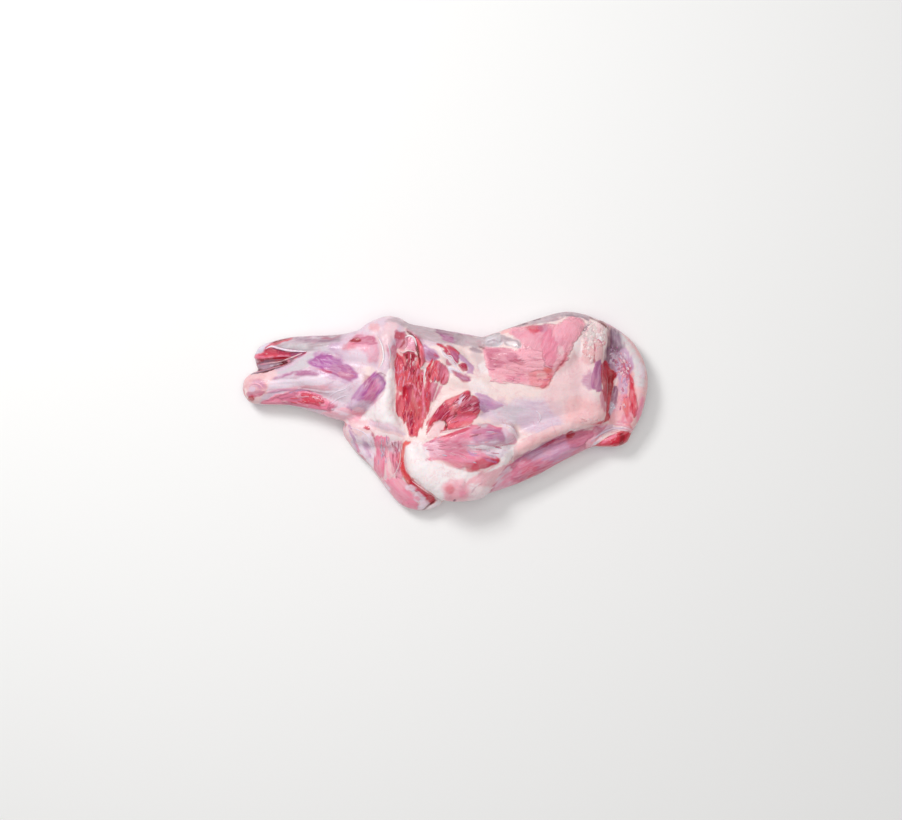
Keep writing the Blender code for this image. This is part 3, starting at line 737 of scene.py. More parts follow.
def fan_marks() -> list[Mark]:
    """The two muscles that fan out from the joint: a bare red one above, a veiled one below."""
    return [
        *pad(Shade.RAW, (-20, -22, -17.5, -11, -13, -3, -8, 3.5, 0, 9.5, 19, 20, 25.5, 20.5, 26.5, 16.5,
            30.5, 16, 34.5, 11.5, 37, 5, 36.5, -0.5, 33, -5.5, 28, -8.5, 27, -12, 4, -18.5, -2.5, -19.5,
            0.5, -12, -2, -10, -8, -10.5, -13, -14, -17, -21), tissue=Tissue.LEAN, hub=FAN_ROOT),
        *film(Shade.WINE, (-3, 7, 5, 4, 4, -4, -4, -9, -10, -8, -13, -3), hub=FAN_ROOT),
        *tinge(Shade.PLUM, (10, 8, 19, 13, 29, 15, 35, 8, 34, 1, 22, 0, 12, 2), hub=FAN_ROOT),
        *wash(Shade.CANDY, (12, -2, 33, -3, 27, -9, 14, -11), hub=FAN_ROOT),
        *stain(Shade.BLOSSOM, (2, -9, 6, -1, 10, 1, 9, -6, 5, -10), tissue=Tissue.BLOODY, hub=FAN_ROOT),
        *hair(Shade.BLOOD, (-3, 1, 5, 4.5, 20, 17), rise=-0.5),
        *groove(Shade.BLOOD, (9, 2.5, 11, -2, 9, -6)),
        *groove(Shade.BLOOD, (8, 1.5, 28, 6.5, 36, 7.5), cover=0.5),
        *pad(Shade.PALE_LILAC, (13.5, 8.5, 16.5, 16.5, 20, 18, 20, 13, 17, 9), tissue=Tissue.MEMBRANE),
        *stain(Shade.WINE, (18, 17.5, 25, 20.5, 26, 17, 20, 15)),
        *stain(Shade.SCARLET, (-16, -11, -11, -7, -10, -10, -14, -16)),
        *pad(Shade.BLUSH, (-18, -25, -8, -10, -2, -10, -1, -16, -5, -22, -12, -27), tissue=Tissue.FAT,
            hub=FAN_ROOT),
        *cord(Shade.BLOOD, (0, -10, 1.5, -14, 1, -19.5), tissue=Tissue.BLOODY, rise=-1),
        *groove(Shade.WINE, (-4, -19.5, 14, -17, 22, -15.5)),
        *cord(Shade.LEAN, (-4, -21.5, 16, -18, 27, -14.5), tissue=Tissue.MEMBRANE),
        *pad(Shade.LILAC, (31, 18, 43, 18, 46, 14, 60, 6, 38, 0, 35, 12), tissue=Tissue.VEILED, grain=-20),
        *tinge(Shade.MAGENTA, (34, 14, 41, 15, 54, 6, 44, 6, 38, 8), grain=-20),
        *pad(Shade.CANDY, (-20, -32, 20, -16, 36, -13, 55, -15, 66, -20, 73, -26, 71, -33, 50, -37, 55,
            -50, 48, -56, 38, -60, 10, -56, 0, -51, -19, -50, -16, -46, -17, -38), tissue=Tissue.VEILED,
            hub=FAN_HEEL),
        *tinge(Shade.PEARL, (-20, -33, -6, -33, -2, -40, -3, -49, -20, -47, -22, -40),
            tissue=Tissue.MEMBRANE, soft=6, hub=FAN_HEEL),
        *groove(Shade.DUSKY, (-20, -31.5, -9, -30.5, 2, -32), cover=1),
        *streak(Shade.SCARLET, (-12, -28, -2, -26, 8, -23)),
        *stain(Shade.LEAN, (-4, -25, 16, -18, 26, -17, 4, -26), hub=FAN_HEEL),
        *tinge(Shade.DUSKY, (8, -26, 24, -24, 26, -38, 20, -47, 4, -46, 0, -34), hub=FAN_HEEL),
        *film(Shade.MAUVE, (29, -20, 38, -15, 60, -20, 66, -27, 60, -33, 36, -34, 28, -30),
            tissue=Tissue.VEILED, soft=7, hub=FAN_HEEL),
        *stain(Shade.FELL, (34, -12, 44, -13, 42, -17, 36, -17)),
        *wash(Shade.PEARL, (58, -14, 68, -17, 74, -25, 71, -32, 64, -33), tissue=Tissue.MEMBRANE),
        *cord(Shade.PEARL, (57, -12.5, 66, -15, 71.5, -20, 73.5, -27, 71, -32), tissue=Tissue.GRISTLE),
        # White membrane over the lower muscle; its brightest white is partly a painted highlight.
        *pad(Shade.IVORY, (24, -35, 56, -35, 70, -33, 66, -39, 36, -39), tissue=Tissue.MEMBRANE, grain=-2),
        *stain(Shade.PEARL, (37, -40, 60, -40, 57, -47, 48, -47, 41, -44), tissue=Tissue.MEMBRANE,
            grain=-40),
        *cord(Shade.MAGENTA, (23, -38, 25, -42, 31, -45, 38, -46), tissue=Tissue.MEMBRANE),
        *wash(Shade.CANDY, (-6, -48, 6, -46, 24, -50, 34, -58, 20, -59, 4, -55), tissue=Tissue.LEAN,
            hub=FAN_HEEL),
        *film(Shade.SCARLET, (25, -60, 29, -52, 35, -47, 43, -47, 55, -51, 40, -60), tissue=Tissue.BLOODY,
            hub=FAN_HEEL),
        *stain(Shade.RAW, (21, -53, 27, -52, 36, -58, 31, -61, 22, -60), tissue=Tissue.BLOODY),
        *tinge(Shade.SALMON, (4, -52, 20, -52, 26, -57, 14, -57, 2, -54)),
        *cord(Shade.SCARLET, (0, -5, 6, -2.5, 12, 3), cover=0.7),
        *hair(Shade.PEARL, (26, -31, 40, -31.5, 56, -30.5), tissue=Tissue.MEMBRANE),
        *hair(Shade.MAGENTA, (36, -46, 46, -50, 52, -52), tissue=Tissue.MEMBRANE),
        *tinge(Shade.PEARL, (20, -32, 40, -29, 62, -30, 66, -40, 50, -46, 34, -44, 22, -40), soft=6,
            ragged=2),
    ]


def fat_pad_marks() -> list[Mark]:
    """The white pad below the fan, blushed at its foot, and the lilac film to the right of it."""
    return [
        *wash(Shade.PETAL, (22, -61, 40, -61, 66, -50, 70, -58, 64, -80, 44, -88, 18, -94, 18, -74),
            tissue=Tissue.VEILED, grain=40),
        *wash(Shade.IVORY, (22, -76, 34, -74, 52, -80, 44, -88, 28, -92, 20, -88), tissue=Tissue.MEMBRANE,
            grain=40),
        *pad(Shade.IVORY, (-41, -38, -36, -33, -27, -30, -17, -38, -18, -48, 22, -61, 36, -62, 26, -68, 22,
            -74, 25, -84, 18, -92, 2, -94, -8, -91, -13, -85, -20, -81, -36, -65, -40, -56),
            tissue=Tissue.FAT, soft=3, rise=1),
        *film(Shade.PETAL, (-2, -76, 4, -71, 12, -70, 20, -72, 25, -78, 25, -88, 14, -94, 0, -93), soft=6),
        *film(Shade.RAW, (1, -80, 5, -76, 10, -80, 5, -84), soft=5),
        *wash(Shade.BLOSSOM, (13, -83, 17, -80, 22, -83, 17, -88)),
        *cord(Shade.PLUM, (9, -91, 10.5, -89.5), blunt=0.9, rise=0),
        *hair(Shade.PLUM, (26, -86, 31, -78, 38, -74), cover=0.4),
        *groove(Shade.PLUM, (62, -60, 68, -53, 69, -46), cover=0.4),
        *pad(Shade.IVORY, (51, -40, 69, -36, 70, -43, 66, -51, 58, -57, 42, -62, 54, -55, 58, -48),
            tissue=Tissue.FAT),
    ]


def breast_marks() -> list[Mark]:
    """The breast flap: thin flesh that hangs from the arm, streaked, with a red rim at the pad."""
    return [
        *film(Shade.BLUSH, (-107, -10, -110, -22, -104, -32, -74, -66, -56, -90, -42, -104, -20, -106, -1,
            -94, -14, -88, -32, -74, -43, -60, -46, -46, -42, -26, -60, -13, -85, -9),
            tissue=Tissue.MEMBRANE, grain=-60),
        *film(Shade.PEARL, (-101, -11, -98, -20, -88, -26, -80, -22, -72, -30, -70, -46, -74, -56, -86,
            -44, -101, -18), tissue=Tissue.MEMBRANE, grain=-60),
        *stain(Shade.PETAL, (-108, -14, -105, -28, -97, -40, -91, -45, -101, -20), grain=-60),
        *streak(Shade.MAGENTA, (-100, -16, -96, -22, -90, -40), tissue=Tissue.VEILED, ragged=2, grain=-60),
        *hair(Shade.LILAC, (-95, -20, -90, -26, -87.5, -34, -87, -42), ragged=2),
        *streak(Shade.PALE_LILAC, (-98, -26, -95, -34, -91, -42), tissue=Tissue.VEILED, cover=1,
            grain=-60),
        *streak(Shade.CANDY, (-92, -30, -89, -38, -88, -43)),
        *body(Shade.ROSE, (-89, -45, -84, -46, -76, -58, -80, -58), tissue=Tissue.VEILED, grain=-50),
        *cord(Shade.PEARL, (-89, -29, -85, -38, -76, -50), tissue=Tissue.GRISTLE, width=3, grain=-60),
        *band(Shade.LILAC, (-84, -28, -80, -37, -76, -46), tissue=Tissue.VEILED, cover=0.9, grain=-60),
        *cord(Shade.PEARL, (-83, -20, -77, -28, -72, -52), tissue=Tissue.GRISTLE, width=3, grain=-70),
        *stain(Shade.SCARLET, (-106, -12, -101, -12, -100, -14, -103, -16, -107, -15)),
        *wash(Shade.PALE_LILAC, (-78, -11, -66, -10, -56, -13, -42, -22, -50, -23, -74, -16),
            tissue=Tissue.MEMBRANE, rise=0.5, grain=-20),
        *stain(Shade.IVORY, (-72, -20, -46, -26, -44, -30, -56, -30, -70, -26), tissue=Tissue.SOFT_FAT,
            grain=-20),
        *body(Shade.LEAN, (-84, -16, -81, -15, -77.5, -16.5, -78, -19, -81.5, -18.5),
            tissue=Tissue.BLOODY),
        *groove(Shade.WINE, (-78, -18.5, -75, -21, -71.5, -30)),
        *pad(Shade.CANDY, (-72, -26, -60, -26, -57, -31, -60, -42, -62, -64, -64, -70, -69, -66, -73, -58,
            -71, -44), tissue=Tissue.VEILED, grain=90),
        *wash(Shade.BLOSSOM, (-70, -28, -60, -28, -59, -36, -66, -38), grain=90),
        *cord(Shade.PETAL, (-59, -28, -60, -54, -58, -66, -60, -72), width=3),
        *film(Shade.BLOSSOM, (-55, -33, -50, -31, -46, -33, -46, -54, -42, -62, -44, -67, -51, -66, -56,
            -46), tissue=Tissue.LEAN, grain=95),
        *groove(Shade.WINE, (-50.5, -32, -53, -42, -53.5, -52, -50.5, -63)),
        *cord(Shade.RAW, (-49, -36, -50, -56, -48, -64)),
        *groove(Shade.LEAN, (-47.5, -34, -48.5, -46, -47, -56, -43.5, -65)),
        *body(Shade.CORAL, (-43, -34, -40, -30, -34, -32, -41, -42, -42, -50, -40, -58, -32, -71, -35, -75,
            -40, -71, -47, -54, -47, -46), tissue=Tissue.LEAN, grain=100),
        *band(Shade.SCARLET, (-44, -47, -44, -56, -35, -72)),
        *body(Shade.SCARLET, (-36, -73, -31, -70, -26, -75.5, -19, -81.5, -11, -86, -7.5, -89, -12, -94,
            -17, -97, -20, -92, -33, -79), tissue=Tissue.BLOODY, grain=-45),
        *streak(Shade.CANDY, (-34, -75, -28, -80, -22, -86), cover=0.9, grain=-45),
        *cord(Shade.SCARLET, (-35.5, -71.5, -31, -69.5, -20.5, -80, -3, -92), tissue=Tissue.BLOODY,
            rise=-1),
        *film(Shade.BLOSSOM, (-63, -71, -52, -67, -38, -77, -28, -92, -29, -104, -42, -104, -52, -96, -66,
            -76), tissue=Tissue.VEILED, grain=-50),
        *film(Shade.PETAL, (-52, -70, -44, -72, -38, -78, -44, -80, -52, -76), tissue=Tissue.VEILED,
            grain=-50),
        *streak(Shade.PEARL, (-66, -74, -50, -94, -44, -101), tissue=Tissue.MEMBRANE, cover=1, grain=-50),
        *pad(Shade.BLOSSOM, (-43, -93, -37, -91, -30, -92, -27, -97, -31, -100, -38, -99),
            tissue=Tissue.BLOODY, grain=-20),
        *film(Shade.PEARL, (-40, -76, -34, -77, -21, -90, -17, -96, -21, -101, -28, -99, -28, -93, -39,
            -81), tissue=Tissue.SOFT_FAT, ragged=3, rise=0.5),
        *hair(Shade.CANDY, (-37, -78.5, -33, -82, -31, -87, -27, -91), ragged=2),
        *streak(Shade.DUSKY, (-42, -101.5, -32, -103, -23, -102.5)),
        *groove(Shade.BLOOD, (-23, -101.5, -12.5, -93.5, -9.5, -89.5)),
        *body(Shade.IVORY, (-22, -103, -10.5, -93.5, -4, -92, -16, -103), tissue=Tissue.MEMBRANE),
        *wash(Shade.PEARL, (-101, 12, -92, 12, -76, 9, -74, 2, -86, 0, -98, 4), (-60, -30, -52, -30, -46,
            -36, -46, -42, -56, -42)),
    ]


def hollow_marks() -> list[Mark]:
    """The broad pink muscle in the blade's hollow, the gristle beside it and the rim above."""
    return [
        *body(Shade.DOVE, (56, 84, 60, 88, 90, 94, 120, 104, 136, 105, 150, 99, 146, 94, 135, 98, 120, 97,
            105, 92), tissue=Tissue.FELL),
        *pad(Shade.PETAL, (38, 66, 50, 67, 72, 63, 78, 67, 74, 74, 67, 80, 65, 84, 75, 87, 115, 90, 122,
            95, 132, 97, 140, 94, 143, 90, 139, 80, 132, 70, 125, 53, 117, 45, 106, 28, 100, 23, 92, 26,
            52, 31, 46, 35), tissue=Tissue.LEAN, grain=-4),
        *tinge(Shade.ROSE, (76, 70, 70, 82, 90, 86, 116, 88, 132, 95, 138, 88, 118, 56, 100, 60),
            tissue=Tissue.VEILED, grain=60),
        *wash(Shade.PETAL, (114, 88, 132, 95, 139, 88, 130, 72, 120, 72), grain=60),
        *wash(Shade.CANDY, (98, 70, 108, 84, 116, 76, 114, 56, 106, 44, 101, 54), grain=60),
        *wash(Shade.DUSKY, (42, 65, 55, 65, 66, 62, 75, 55, 73, 50, 50, 44, 44, 48, 42, 56), grain=-4),
        *tinge(Shade.WINE, (44, 58, 54, 60, 60, 54, 54, 49, 46, 52), cover=0.2, grain=-4),
        *tinge(Shade.CANDY, (62, 38, 78, 37, 84, 31, 74, 30, 63, 32), grain=-6),
        *tinge(Shade.CORAL, (86, 31, 92, 42, 106, 45, 113, 42, 110, 32, 104, 24, 96, 24), grain=-6),
        *stain(Shade.CORAL, (100, 44, 106, 47, 109, 42, 104, 40)),
        *stain(Shade.SCARLET, (106, 36, 110, 37, 109, 32, 105, 32), cover=0.5),
        *stain(Shade.RAW, (99, 28, 104, 29, 104, 25, 99, 25)),
        *stain(Shade.SALMON, (94, 39, 102, 40, 103, 35, 96, 34)),
        *band(Shade.RAW, (114, 41, 123, 54, 125, 60), rise=-0.5),
        *hair(Shade.WINE, (118, 47, 121, 51, 124, 54.5)),
        *stain(Shade.BLUSH, (116, 66, 119, 67, 121, 60, 119, 57, 116, 60), tissue=Tissue.MEMBRANE),
        *film(Shade.PETAL, (111, 86, 117, 87, 119, 76, 114, 71, 110, 78), tissue=Tissue.MEMBRANE,
            grain=70),
        *wash(Shade.SCARLET, (83, 87, 98, 87, 98, 82, 91, 80, 85, 83), tissue=Tissue.BLOODY),
        *tinge(Shade.MAUVE, (96, 87, 104, 87, 103, 82, 98, 82)),
        *tinge(Shade.WINE, (66, 53, 72, 54, 80, 51, 76, 49, 69, 50), grain=-10),
        *pad(Shade.FELL, (39, 73, 45, 78, 53, 81, 58, 79, 61, 73, 58, 67, 48, 66, 41, 68),
            tissue=Tissue.GRISTLE),
        *streak(Shade.UMBER, (41, 75, 49, 79, 57, 80)),
        *groove(Shade.ASH, (43, 71, 50, 73, 55, 71, 60, 73)),
        *pad(Shade.DOVE, (57, 77, 61, 78, 75, 73, 78, 68, 75, 65, 63, 67, 59, 71), tissue=Tissue.GRISTLE),
        # Painted highlight on the second grey gristle.
        *stain(Shade.IVORY, (62, 72, 70, 73, 75, 69, 70, 66, 64, 68)),
        *body(Shade.SALMON, (57, 81, 63, 86, 67, 82, 58, 79), tissue=Tissue.FAT),
        *groove(Shade.ASH, (104, 91.5, 116, 94.5, 126, 98.5, 140, 97.5, 150, 91), cover=0.6),
        *hair(Shade.UMBER, (58, 84, 66, 87, 84, 90)),
        *hair(Shade.UMBER, (91, 93.5, 97, 95.5), blunt=0.9),
    ]


def blade_marks() -> list[Mark]:
    """The blade's flat side: cream fat, a lilac membrane, the lip and the crumbly end ridge."""
    return [
        *body(Shade.PALE_LILAC, (50, 8, 96, 13, 113, 9, 122, -4, 115, -18, 96, -23, 80, -19, 74, -14, 38,
            -6, 40, 0), tissue=Tissue.MEMBRANE, soft=8, ragged=2),
        *wash(Shade.FELL, (50, 6, 70, 8, 84, 4, 88, -6, 80, -16, 52, -6), soft=8),
        *wash(Shade.PALE_LILAC, (74, -2, 88, 0, 90, -14, 80, -17, 74, -10), soft=7),
        *film(Shade.BLUSH, (104, 26, 130, 59, 146, 50, 150, 36, 142, 25, 160, 11, 163, -3, 158, -12, 140,
            -16, 124, -14, 102, 12), tissue=Tissue.SOFT_FAT, soft=8),
        *tinge(Shade.BLUSH, (118, 30, 132, 56, 142, 50, 138, 30, 128, 20), soft=8),
        *wash(Shade.SALMON, (128, 14, 148, 12, 160, 7, 163, -4, 157, -12, 140, -15, 124, -10),
            tissue=Tissue.FAT, soft=6, rise=0.5),
        *pad(Shade.BLUSH, (70, -35, 100, -20, 118, -14, 152, -16, 161, -12, 151, -19, 132, -20, 85, -41,
            72, -49, 69, -42), tissue=Tissue.FAT, grain=25),
        *wash(Shade.SALMON, (74, -37, 92, -27, 112, -19, 116, -23, 80, -40)),
        *stain(Shade.IVORY, (128, -18, 153, -18, 146, -23, 132, -23), tissue=Tissue.MEMBRANE),
        *tinge(Shade.DOVE, (28, 60, 38, 60, 44, 50, 42, 42, 34, 40, 30, 48), soft=6),
        *wash(Shade.IVORY, (26, 32, 40, 30, 44, 20, 34, 17, 26, 22), (34, 48, 44, 48, 46, 40, 38, 38)),
        *wash(Shade.DOVE, (142, 86, 150, 91, 154, 82, 152, 70, 147, 67, 142, 72)),
        *stain(Shade.PEACH, (153, 75, 162, 75, 163, 70, 158, 65, 154, 67)),
        *wash(Shade.PEACH, (141, 66, 151, 64, 153, 52, 147, 49, 141, 54)),
        *stain(Shade.PEACH, (154, 65, 161, 66, 162, 53, 155, 53), tissue=Tissue.MEMBRANE, grain=85),
        *groove(Shade.ASH, (141, 79, 143.5, 85, 148, 90)),
        *groove(Shade.WINE, (152.5, 76, 153.5, 64, 153, 50)),
        *groove(Shade.ROSE, (153, 76, 160, 72, 164, 68)),
        *stain(Shade.IVORY, (133, 72, 138, 77, 141, 67, 140, 58, 136, 57, 133, 64), tissue=Tissue.MEMBRANE,
            rise=0.5),
        *wash(Shade.MAUVE, (151, 41, 151, 23, 144, 24, 140, 30, 143, 37), tissue=Tissue.MEMBRANE),
        *body(Shade.MAUVE, (156, 52, 161, 51, 160, 38, 162, 24, 159, 20, 151, 23, 149, 30, 153, 48),
            tissue=Tissue.VEILED, grain=80),
    ]


def end_marks() -> list[Mark]:
    """Beyond the ridge: painted shade in the crevice at its foot, the crimson cleft, the wet grey gutter,
    the outer fell and the cut end.
    """
    return [
        *body(Shade.SALMON, (163, 94, 180, 86, 196, 70, 212, 44, 214, 24, 206, 2, 196, -16, 180, -22, 168,
            -18, 170, 10, 178, 40, 174, 62, 166, 78), tissue=Tissue.FELL),
        *film(Shade.GRISTLE, (176, 84, 186, 76, 196, 62, 203, 46, 204, 26, 195, 26, 192, 44, 186, 58, 178,
            68), soft=5),
        *stain(Shade.PEARL, (199, 50, 204, 46, 206, 36, 201, 36)),
        *band(Shade.LILAC, (150, 101, 160, 96, 184, 80)),
        *band(Shade.BLOOD, (150, 97, 162, 89, 167, 86), cover=0.9),
        # Painted shade in the crevice at the ridge's foot, laid as veiled tissue, with a plum wash and a
        # dark streak.
        *body(Shade.ASH, (165, 50, 165, 62, 168, 72, 169, 85, 174, 85, 180, 76, 184, 66, 181, 56, 175, 46,
            170, 43), tissue=Tissue.VEILED, soft=5, grain=90),
        *wash(Shade.PLUM, (165, 50, 166, 64, 169, 76, 172, 72, 172, 60, 169, 48), grain=90),
        *streak(Shade.UMBER, (166, 64, 169, 74, 170, 83), cover=0.4),
        *film(Shade.LILAC, (168, 50, 175, 60, 184, 64, 190, 56, 192, 44, 187, 20, 181, 13, 177, 24, 176,
            34), tissue=Tissue.GRISTLE, grain=80),
        *wash(Shade.PALE_LILAC, (172, 58, 182, 62, 186, 54, 180, 48, 172, 50), grain=80),
        *wash(Shade.LEAN, (181, 50, 186, 50, 189, 42, 187, 34, 183, 40), tissue=Tissue.LEAN, grain=80),
        *body(Shade.PLUM, (168, -3, 172, 22, 177, 25, 177, 8, 171, -5), tissue=Tissue.MEMBRANE, rise=-0.5,
            grain=80),
        *stain(Shade.MIST, (167, 8, 172, 9, 174, 1, 169, -3)),
        *body(Shade.PINK, (177, 16, 184, 18, 190, 11, 193, -9, 186, -13, 176, -11, 169, -7, 176, 9),
            tissue=Tissue.MEMBRANE, grain=80),
        *wash(Shade.SALMON, (177, 8, 183, 12, 186, 4, 182, -4, 176, -2), grain=80),
        *stain(Shade.SALMON, (170, -2, 178, 0, 180, -8, 172, -10), grain=80),
        *wash(Shade.CORAL, (184, 14, 189, 14, 190, 2, 187, -4, 184, 4), tissue=Tissue.LEAN, grain=-80),
        *body(Shade.RAW, (188, 38, 192, 34, 197, 8, 197, -4, 192, -2), tissue=Tissue.LEAN, grain=-80),
        *band(Shade.SCARLET, (192, 28, 194, 16, 193, 6)),
        *stain(Shade.SCARLET, (189, 4, 192, 8, 194, 3, 192, -2)),
        *stain(Shade.RAW, (185, -4, 190, -4, 193, -9, 188, -10)),
        *film(Shade.BLOSSOM, (198, 8, 202, 14, 206, 8, 204, -4, 199, -12, 197, -4), tissue=Tissue.VEILED,
            grain=75),
        *pad(Shade.PETAL, (153, -14, 178, -12, 190, -14, 196, -18, 189, -21, 178, -19, 168, -21, 160, -25,
            147, -38, 144, -33, 151, -24), tissue=Tissue.MEMBRANE, grain=20),
        *stain(Shade.PALE_LILAC, (156, -16, 168, -13, 178, -13, 168, -20, 158, -23, 150, -30)),
        *stain(Shade.ROSE, (154, -15, 160, -17, 166, -13, 160, -21, 150, -27, 149, -23), grain=30),
        *stain(Shade.CREAM, (174, -13, 190, -14, 194, -18, 174, -17)),
        *cord(Shade.PEARL, (160, -23, 170, -18, 184, -17)),
        *streak(Shade.RAW, (184, -12, 190, -16, 195, -21)),
        *body(Shade.SCARLET, (149, -42, 157, -33.5, 173, -23, 179, -20, 193, -23, 194, -30, 187, -37, 179,
            -41, 164, -43), tissue=Tissue.BLOODY, grain=25),
        *wash(Shade.RAW, (151, -40, 168, -28, 170, -34, 166, -41), grain=25),
        *streak(Shade.BLOSSOM, (160, -33, 168, -28, 175, -24)),
        *pit(Shade.BLOOD, (180, -22, 183, -23, 183, -30, 181, -36, 179, -36), cover=0.6),
        *cord(Shade.SALMON, (191, -22, 192, -26, 188, -32)),
        *cord(Shade.PEARL, (149, -38.5, 154, -32.5, 161, -27), tissue=Tissue.MEMBRANE),
        *stain(Shade.ROSE, (159, 19, 161, 24, 165, 5, 164, -1, 161, 4), tissue=Tissue.VEILED, grain=80),
        *pit(Shade.SCARLET, (160.5, 49, 163, 52.5, 166.5, 51, 169, 45, 174, 41, 176.5, 37.5, 171.5, 25,
            168, 8, 167, -9, 155, -14, 157, -11, 163, -8, 165, -1, 165, 8, 162.5, 18, 160.5, 38),
            tissue=Tissue.BLOODY),
        *stain(Shade.CRIMSON, (168, 34, 172, 38, 175, 36, 168, 20, 166, 28), cover=0.5),
        *hair(Shade.RAW, (150, -13.5, 156, -12.5, 160, -10)),
    ]


def belly_marks() -> list[Mark]:
    """The strip of outer muscle below the blade's lip, with painted shade along its top where the lip
    overhangs it.
    """
    return [
        *body(Shade.ROSE, (46, -84, 58, -62, 70, -51, 125, -22, 155, -18, 163, -13, 150, -33, 147, -42, 60,
            -84), tissue=Tissue.VEILED, grain=25),
        *wash(Shade.PEARL, (48, -84, 58, -62, 68, -56, 68, -70, 62, -82), grain=40),
        *wash(Shade.BLOSSOM, (60, -64, 76, -60, 74, -74, 62, -80), soft=6, grain=35),
        *tinge(Shade.CANDY, (50, -82, 56, -72, 62, -72, 58, -82), grain=40),
        *wash(Shade.DUSKY, (72, -58, 80, -52, 93, -51, 102, -56, 92, -66, 78, -72, 68, -70), soft=8,
            grain=25),
        *tinge(Shade.RAW, (80, -56, 92, -55, 92, -64, 80, -66), grain=25),
        *wash(Shade.LILAC, (98, -40, 120, -31, 136, -37, 124, -47, 102, -52), (82, -45, 96, -39, 100, -46,
            88, -50), grain=25),
        *wash(Shade.DUSKY, (128, -26, 152, -22, 151, -29, 140, -36, 129, -36), tissue=Tissue.LEAN,
            grain=20),
        # Painted shadow of the overhanging lip along the strip's top.
        *band(Shade.MAUVE, (72, -51, 108, -32, 122, -26), width=5),
        *groove(Shade.SCARLET, (100, -36, 110, -31, 121, -25), cover=0.5, width=2),
        *band(Shade.SCARLET, (66, -78, 92, -65, 124, -50), cover=0.3),
        *pit(Shade.RUBY, (123.5, -25, 126, -21, 130, -19.5, 133, -22, 130.5, -26, 126, -28),
            tissue=Tissue.BLOODY),
    ]


REGIONS: dict[str, Callable[[], list[Mark]]] = {
    "shank": shank_marks,
    "knuckle": knuckle_marks,
    "slot": slot_marks,
    "elbow": elbow_marks,
    "breast": breast_marks,
    "blade": blade_marks,
    "hollow": hollow_marks,
    "veined": veined_marks,
    "cut": cut_marks,
    "fat_pad": fat_pad_marks,
    "fan": fan_marks,
    "belly": belly_marks,
    "end": end_marks,
}


class Wire:
    """A socket of a material's tree, on which arithmetic adds Math nodes."""

    def __init__(self, graph: "Graph", socket: bpy.types.NodeSocket) -> None:
        """Wraps one output socket."""
        self.graph, self.socket = graph, socket

    def math(self, operation: str, first: Any, second: Any) -> "Wire":
        """Adds a Math node that works on two values."""
        return self.graph.node("ShaderNodeMath", {"operation": operation},
                               {0: first, 1: second})

    def __add__(self, other: "Wire | float") -> "Wire":
        """Adds."""
        return self.math("ADD", self, other)

    __radd__ = __add__

    def __mul__(self, other: "Wire | float") -> "Wire":
        """Multiplies."""
        return self.math("MULTIPLY", self, other)

    __rmul__ = __mul__

    def __sub__(self, other: "Wire | float") -> "Wire":
        """Subtracts."""
        return self.math("SUBTRACT", self, other)

    def __rsub__(self, other: "Wire | float") -> "Wire":
        """Subtracts from a number."""
        return self.math("SUBTRACT", other, self)

    def ridge(self) -> "Wire":
        """How far noise is from its middle value, so that thin lines are near 0."""
        return self.math("ABSOLUTE", self - 0.5, 0.0)

    def ramp(self, low: float, high: float) -> "Wire":
        """Goes smoothly from 0 at low to 1 at high."""
        return self.graph.node(
            "ShaderNodeMapRange", {"interpolation_type": "SMOOTHSTEP"},
            {0: self, 1: min(low, high), 2: max(low, high),
             3: float(low > high), 4: float(low < high)})


class Graph:
    """Builds one material's node tree."""

    def __init__(self, name: str) -> None:
        """Makes the material and keeps its shader."""
        self.material = bpy.data.materials.new(name)
        self.material.use_nodes = True
        self.tree = self.material.node_tree
        self.shader = self.tree.nodes["Principled BSDF"]

    def node(self, kind: str, settings: dict[str, Any] | None = None,
             inputs: dict[int | str, Any] | None = None, output: int | str = 0) -> Wire:
        """Adds a node.

        Args:
            kind: The node's type.
            settings: Its properties, which are set first.
            inputs: Values or wires for its sockets.
            output: Which of its outputs to return.

        Returns:
            The wire that leaves that output.
        """
        made = self.tree.nodes.new(kind)
        for name, value in (settings or {}).items():
            setattr(made, name, value)
        for key, value in (inputs or {}).items():
            self.plug(made.inputs[key], value)
        return Wire(self, made.outputs[output])

    def plug(self, socket: bpy.types.NodeSocket, value: Any) -> None:
        """Links a wire to a socket, or sets the socket's value."""
        if isinstance(value, Wire):
            self.tree.links.new(value.socket, socket)
        else:
            socket.default_value = value

    def attribute(self, name: str, output: str = "Fac") -> Wire:
        """Reads one of the mesh's attributes."""
        return self.node("ShaderNodeAttribute", {"attribute_name": name}, output=output)

    def stretched(self, vector: Wire, cells: Sequence[float]) -> Wire:
        """Scales positions so that noise of scale 1 has cells of these sizes in metres."""
        return self.node("ShaderNodeVectorMath", {"operation": "MULTIPLY"},
                         {0: vector, 1: tuple(1.0 / c for c in cells)})

    def noise(self, vector: Wire, cells: Sequence[float], detail: float = 2.0,
              roughness: float = 0.5, distortion: float = 0.0) -> Wire:
        """Adds noise with cells of these sizes in metres."""
        return self.node("ShaderNodeTexNoise", None,
                         {"Vector": self.stretched(vector, cells), "Scale": 1.0,
                          "Detail": detail, "Roughness": roughness,
                          "Distortion": distortion})

    def mix(self, factor: Wire, below: Wire, above: Sequence[float], blend: str) -> Wire:
        """Mixes two colours."""
        return self.node("ShaderNodeMix", {"data_type": "RGBA", "blend_type": blend},
                         {0: factor, 6: below, 7: above}, output=2)


def rgba(shade: Shade) -> tuple[float, ...]:
    """A shade as a linear colour with full alpha."""
    return (*shade.linear(), 1.0)


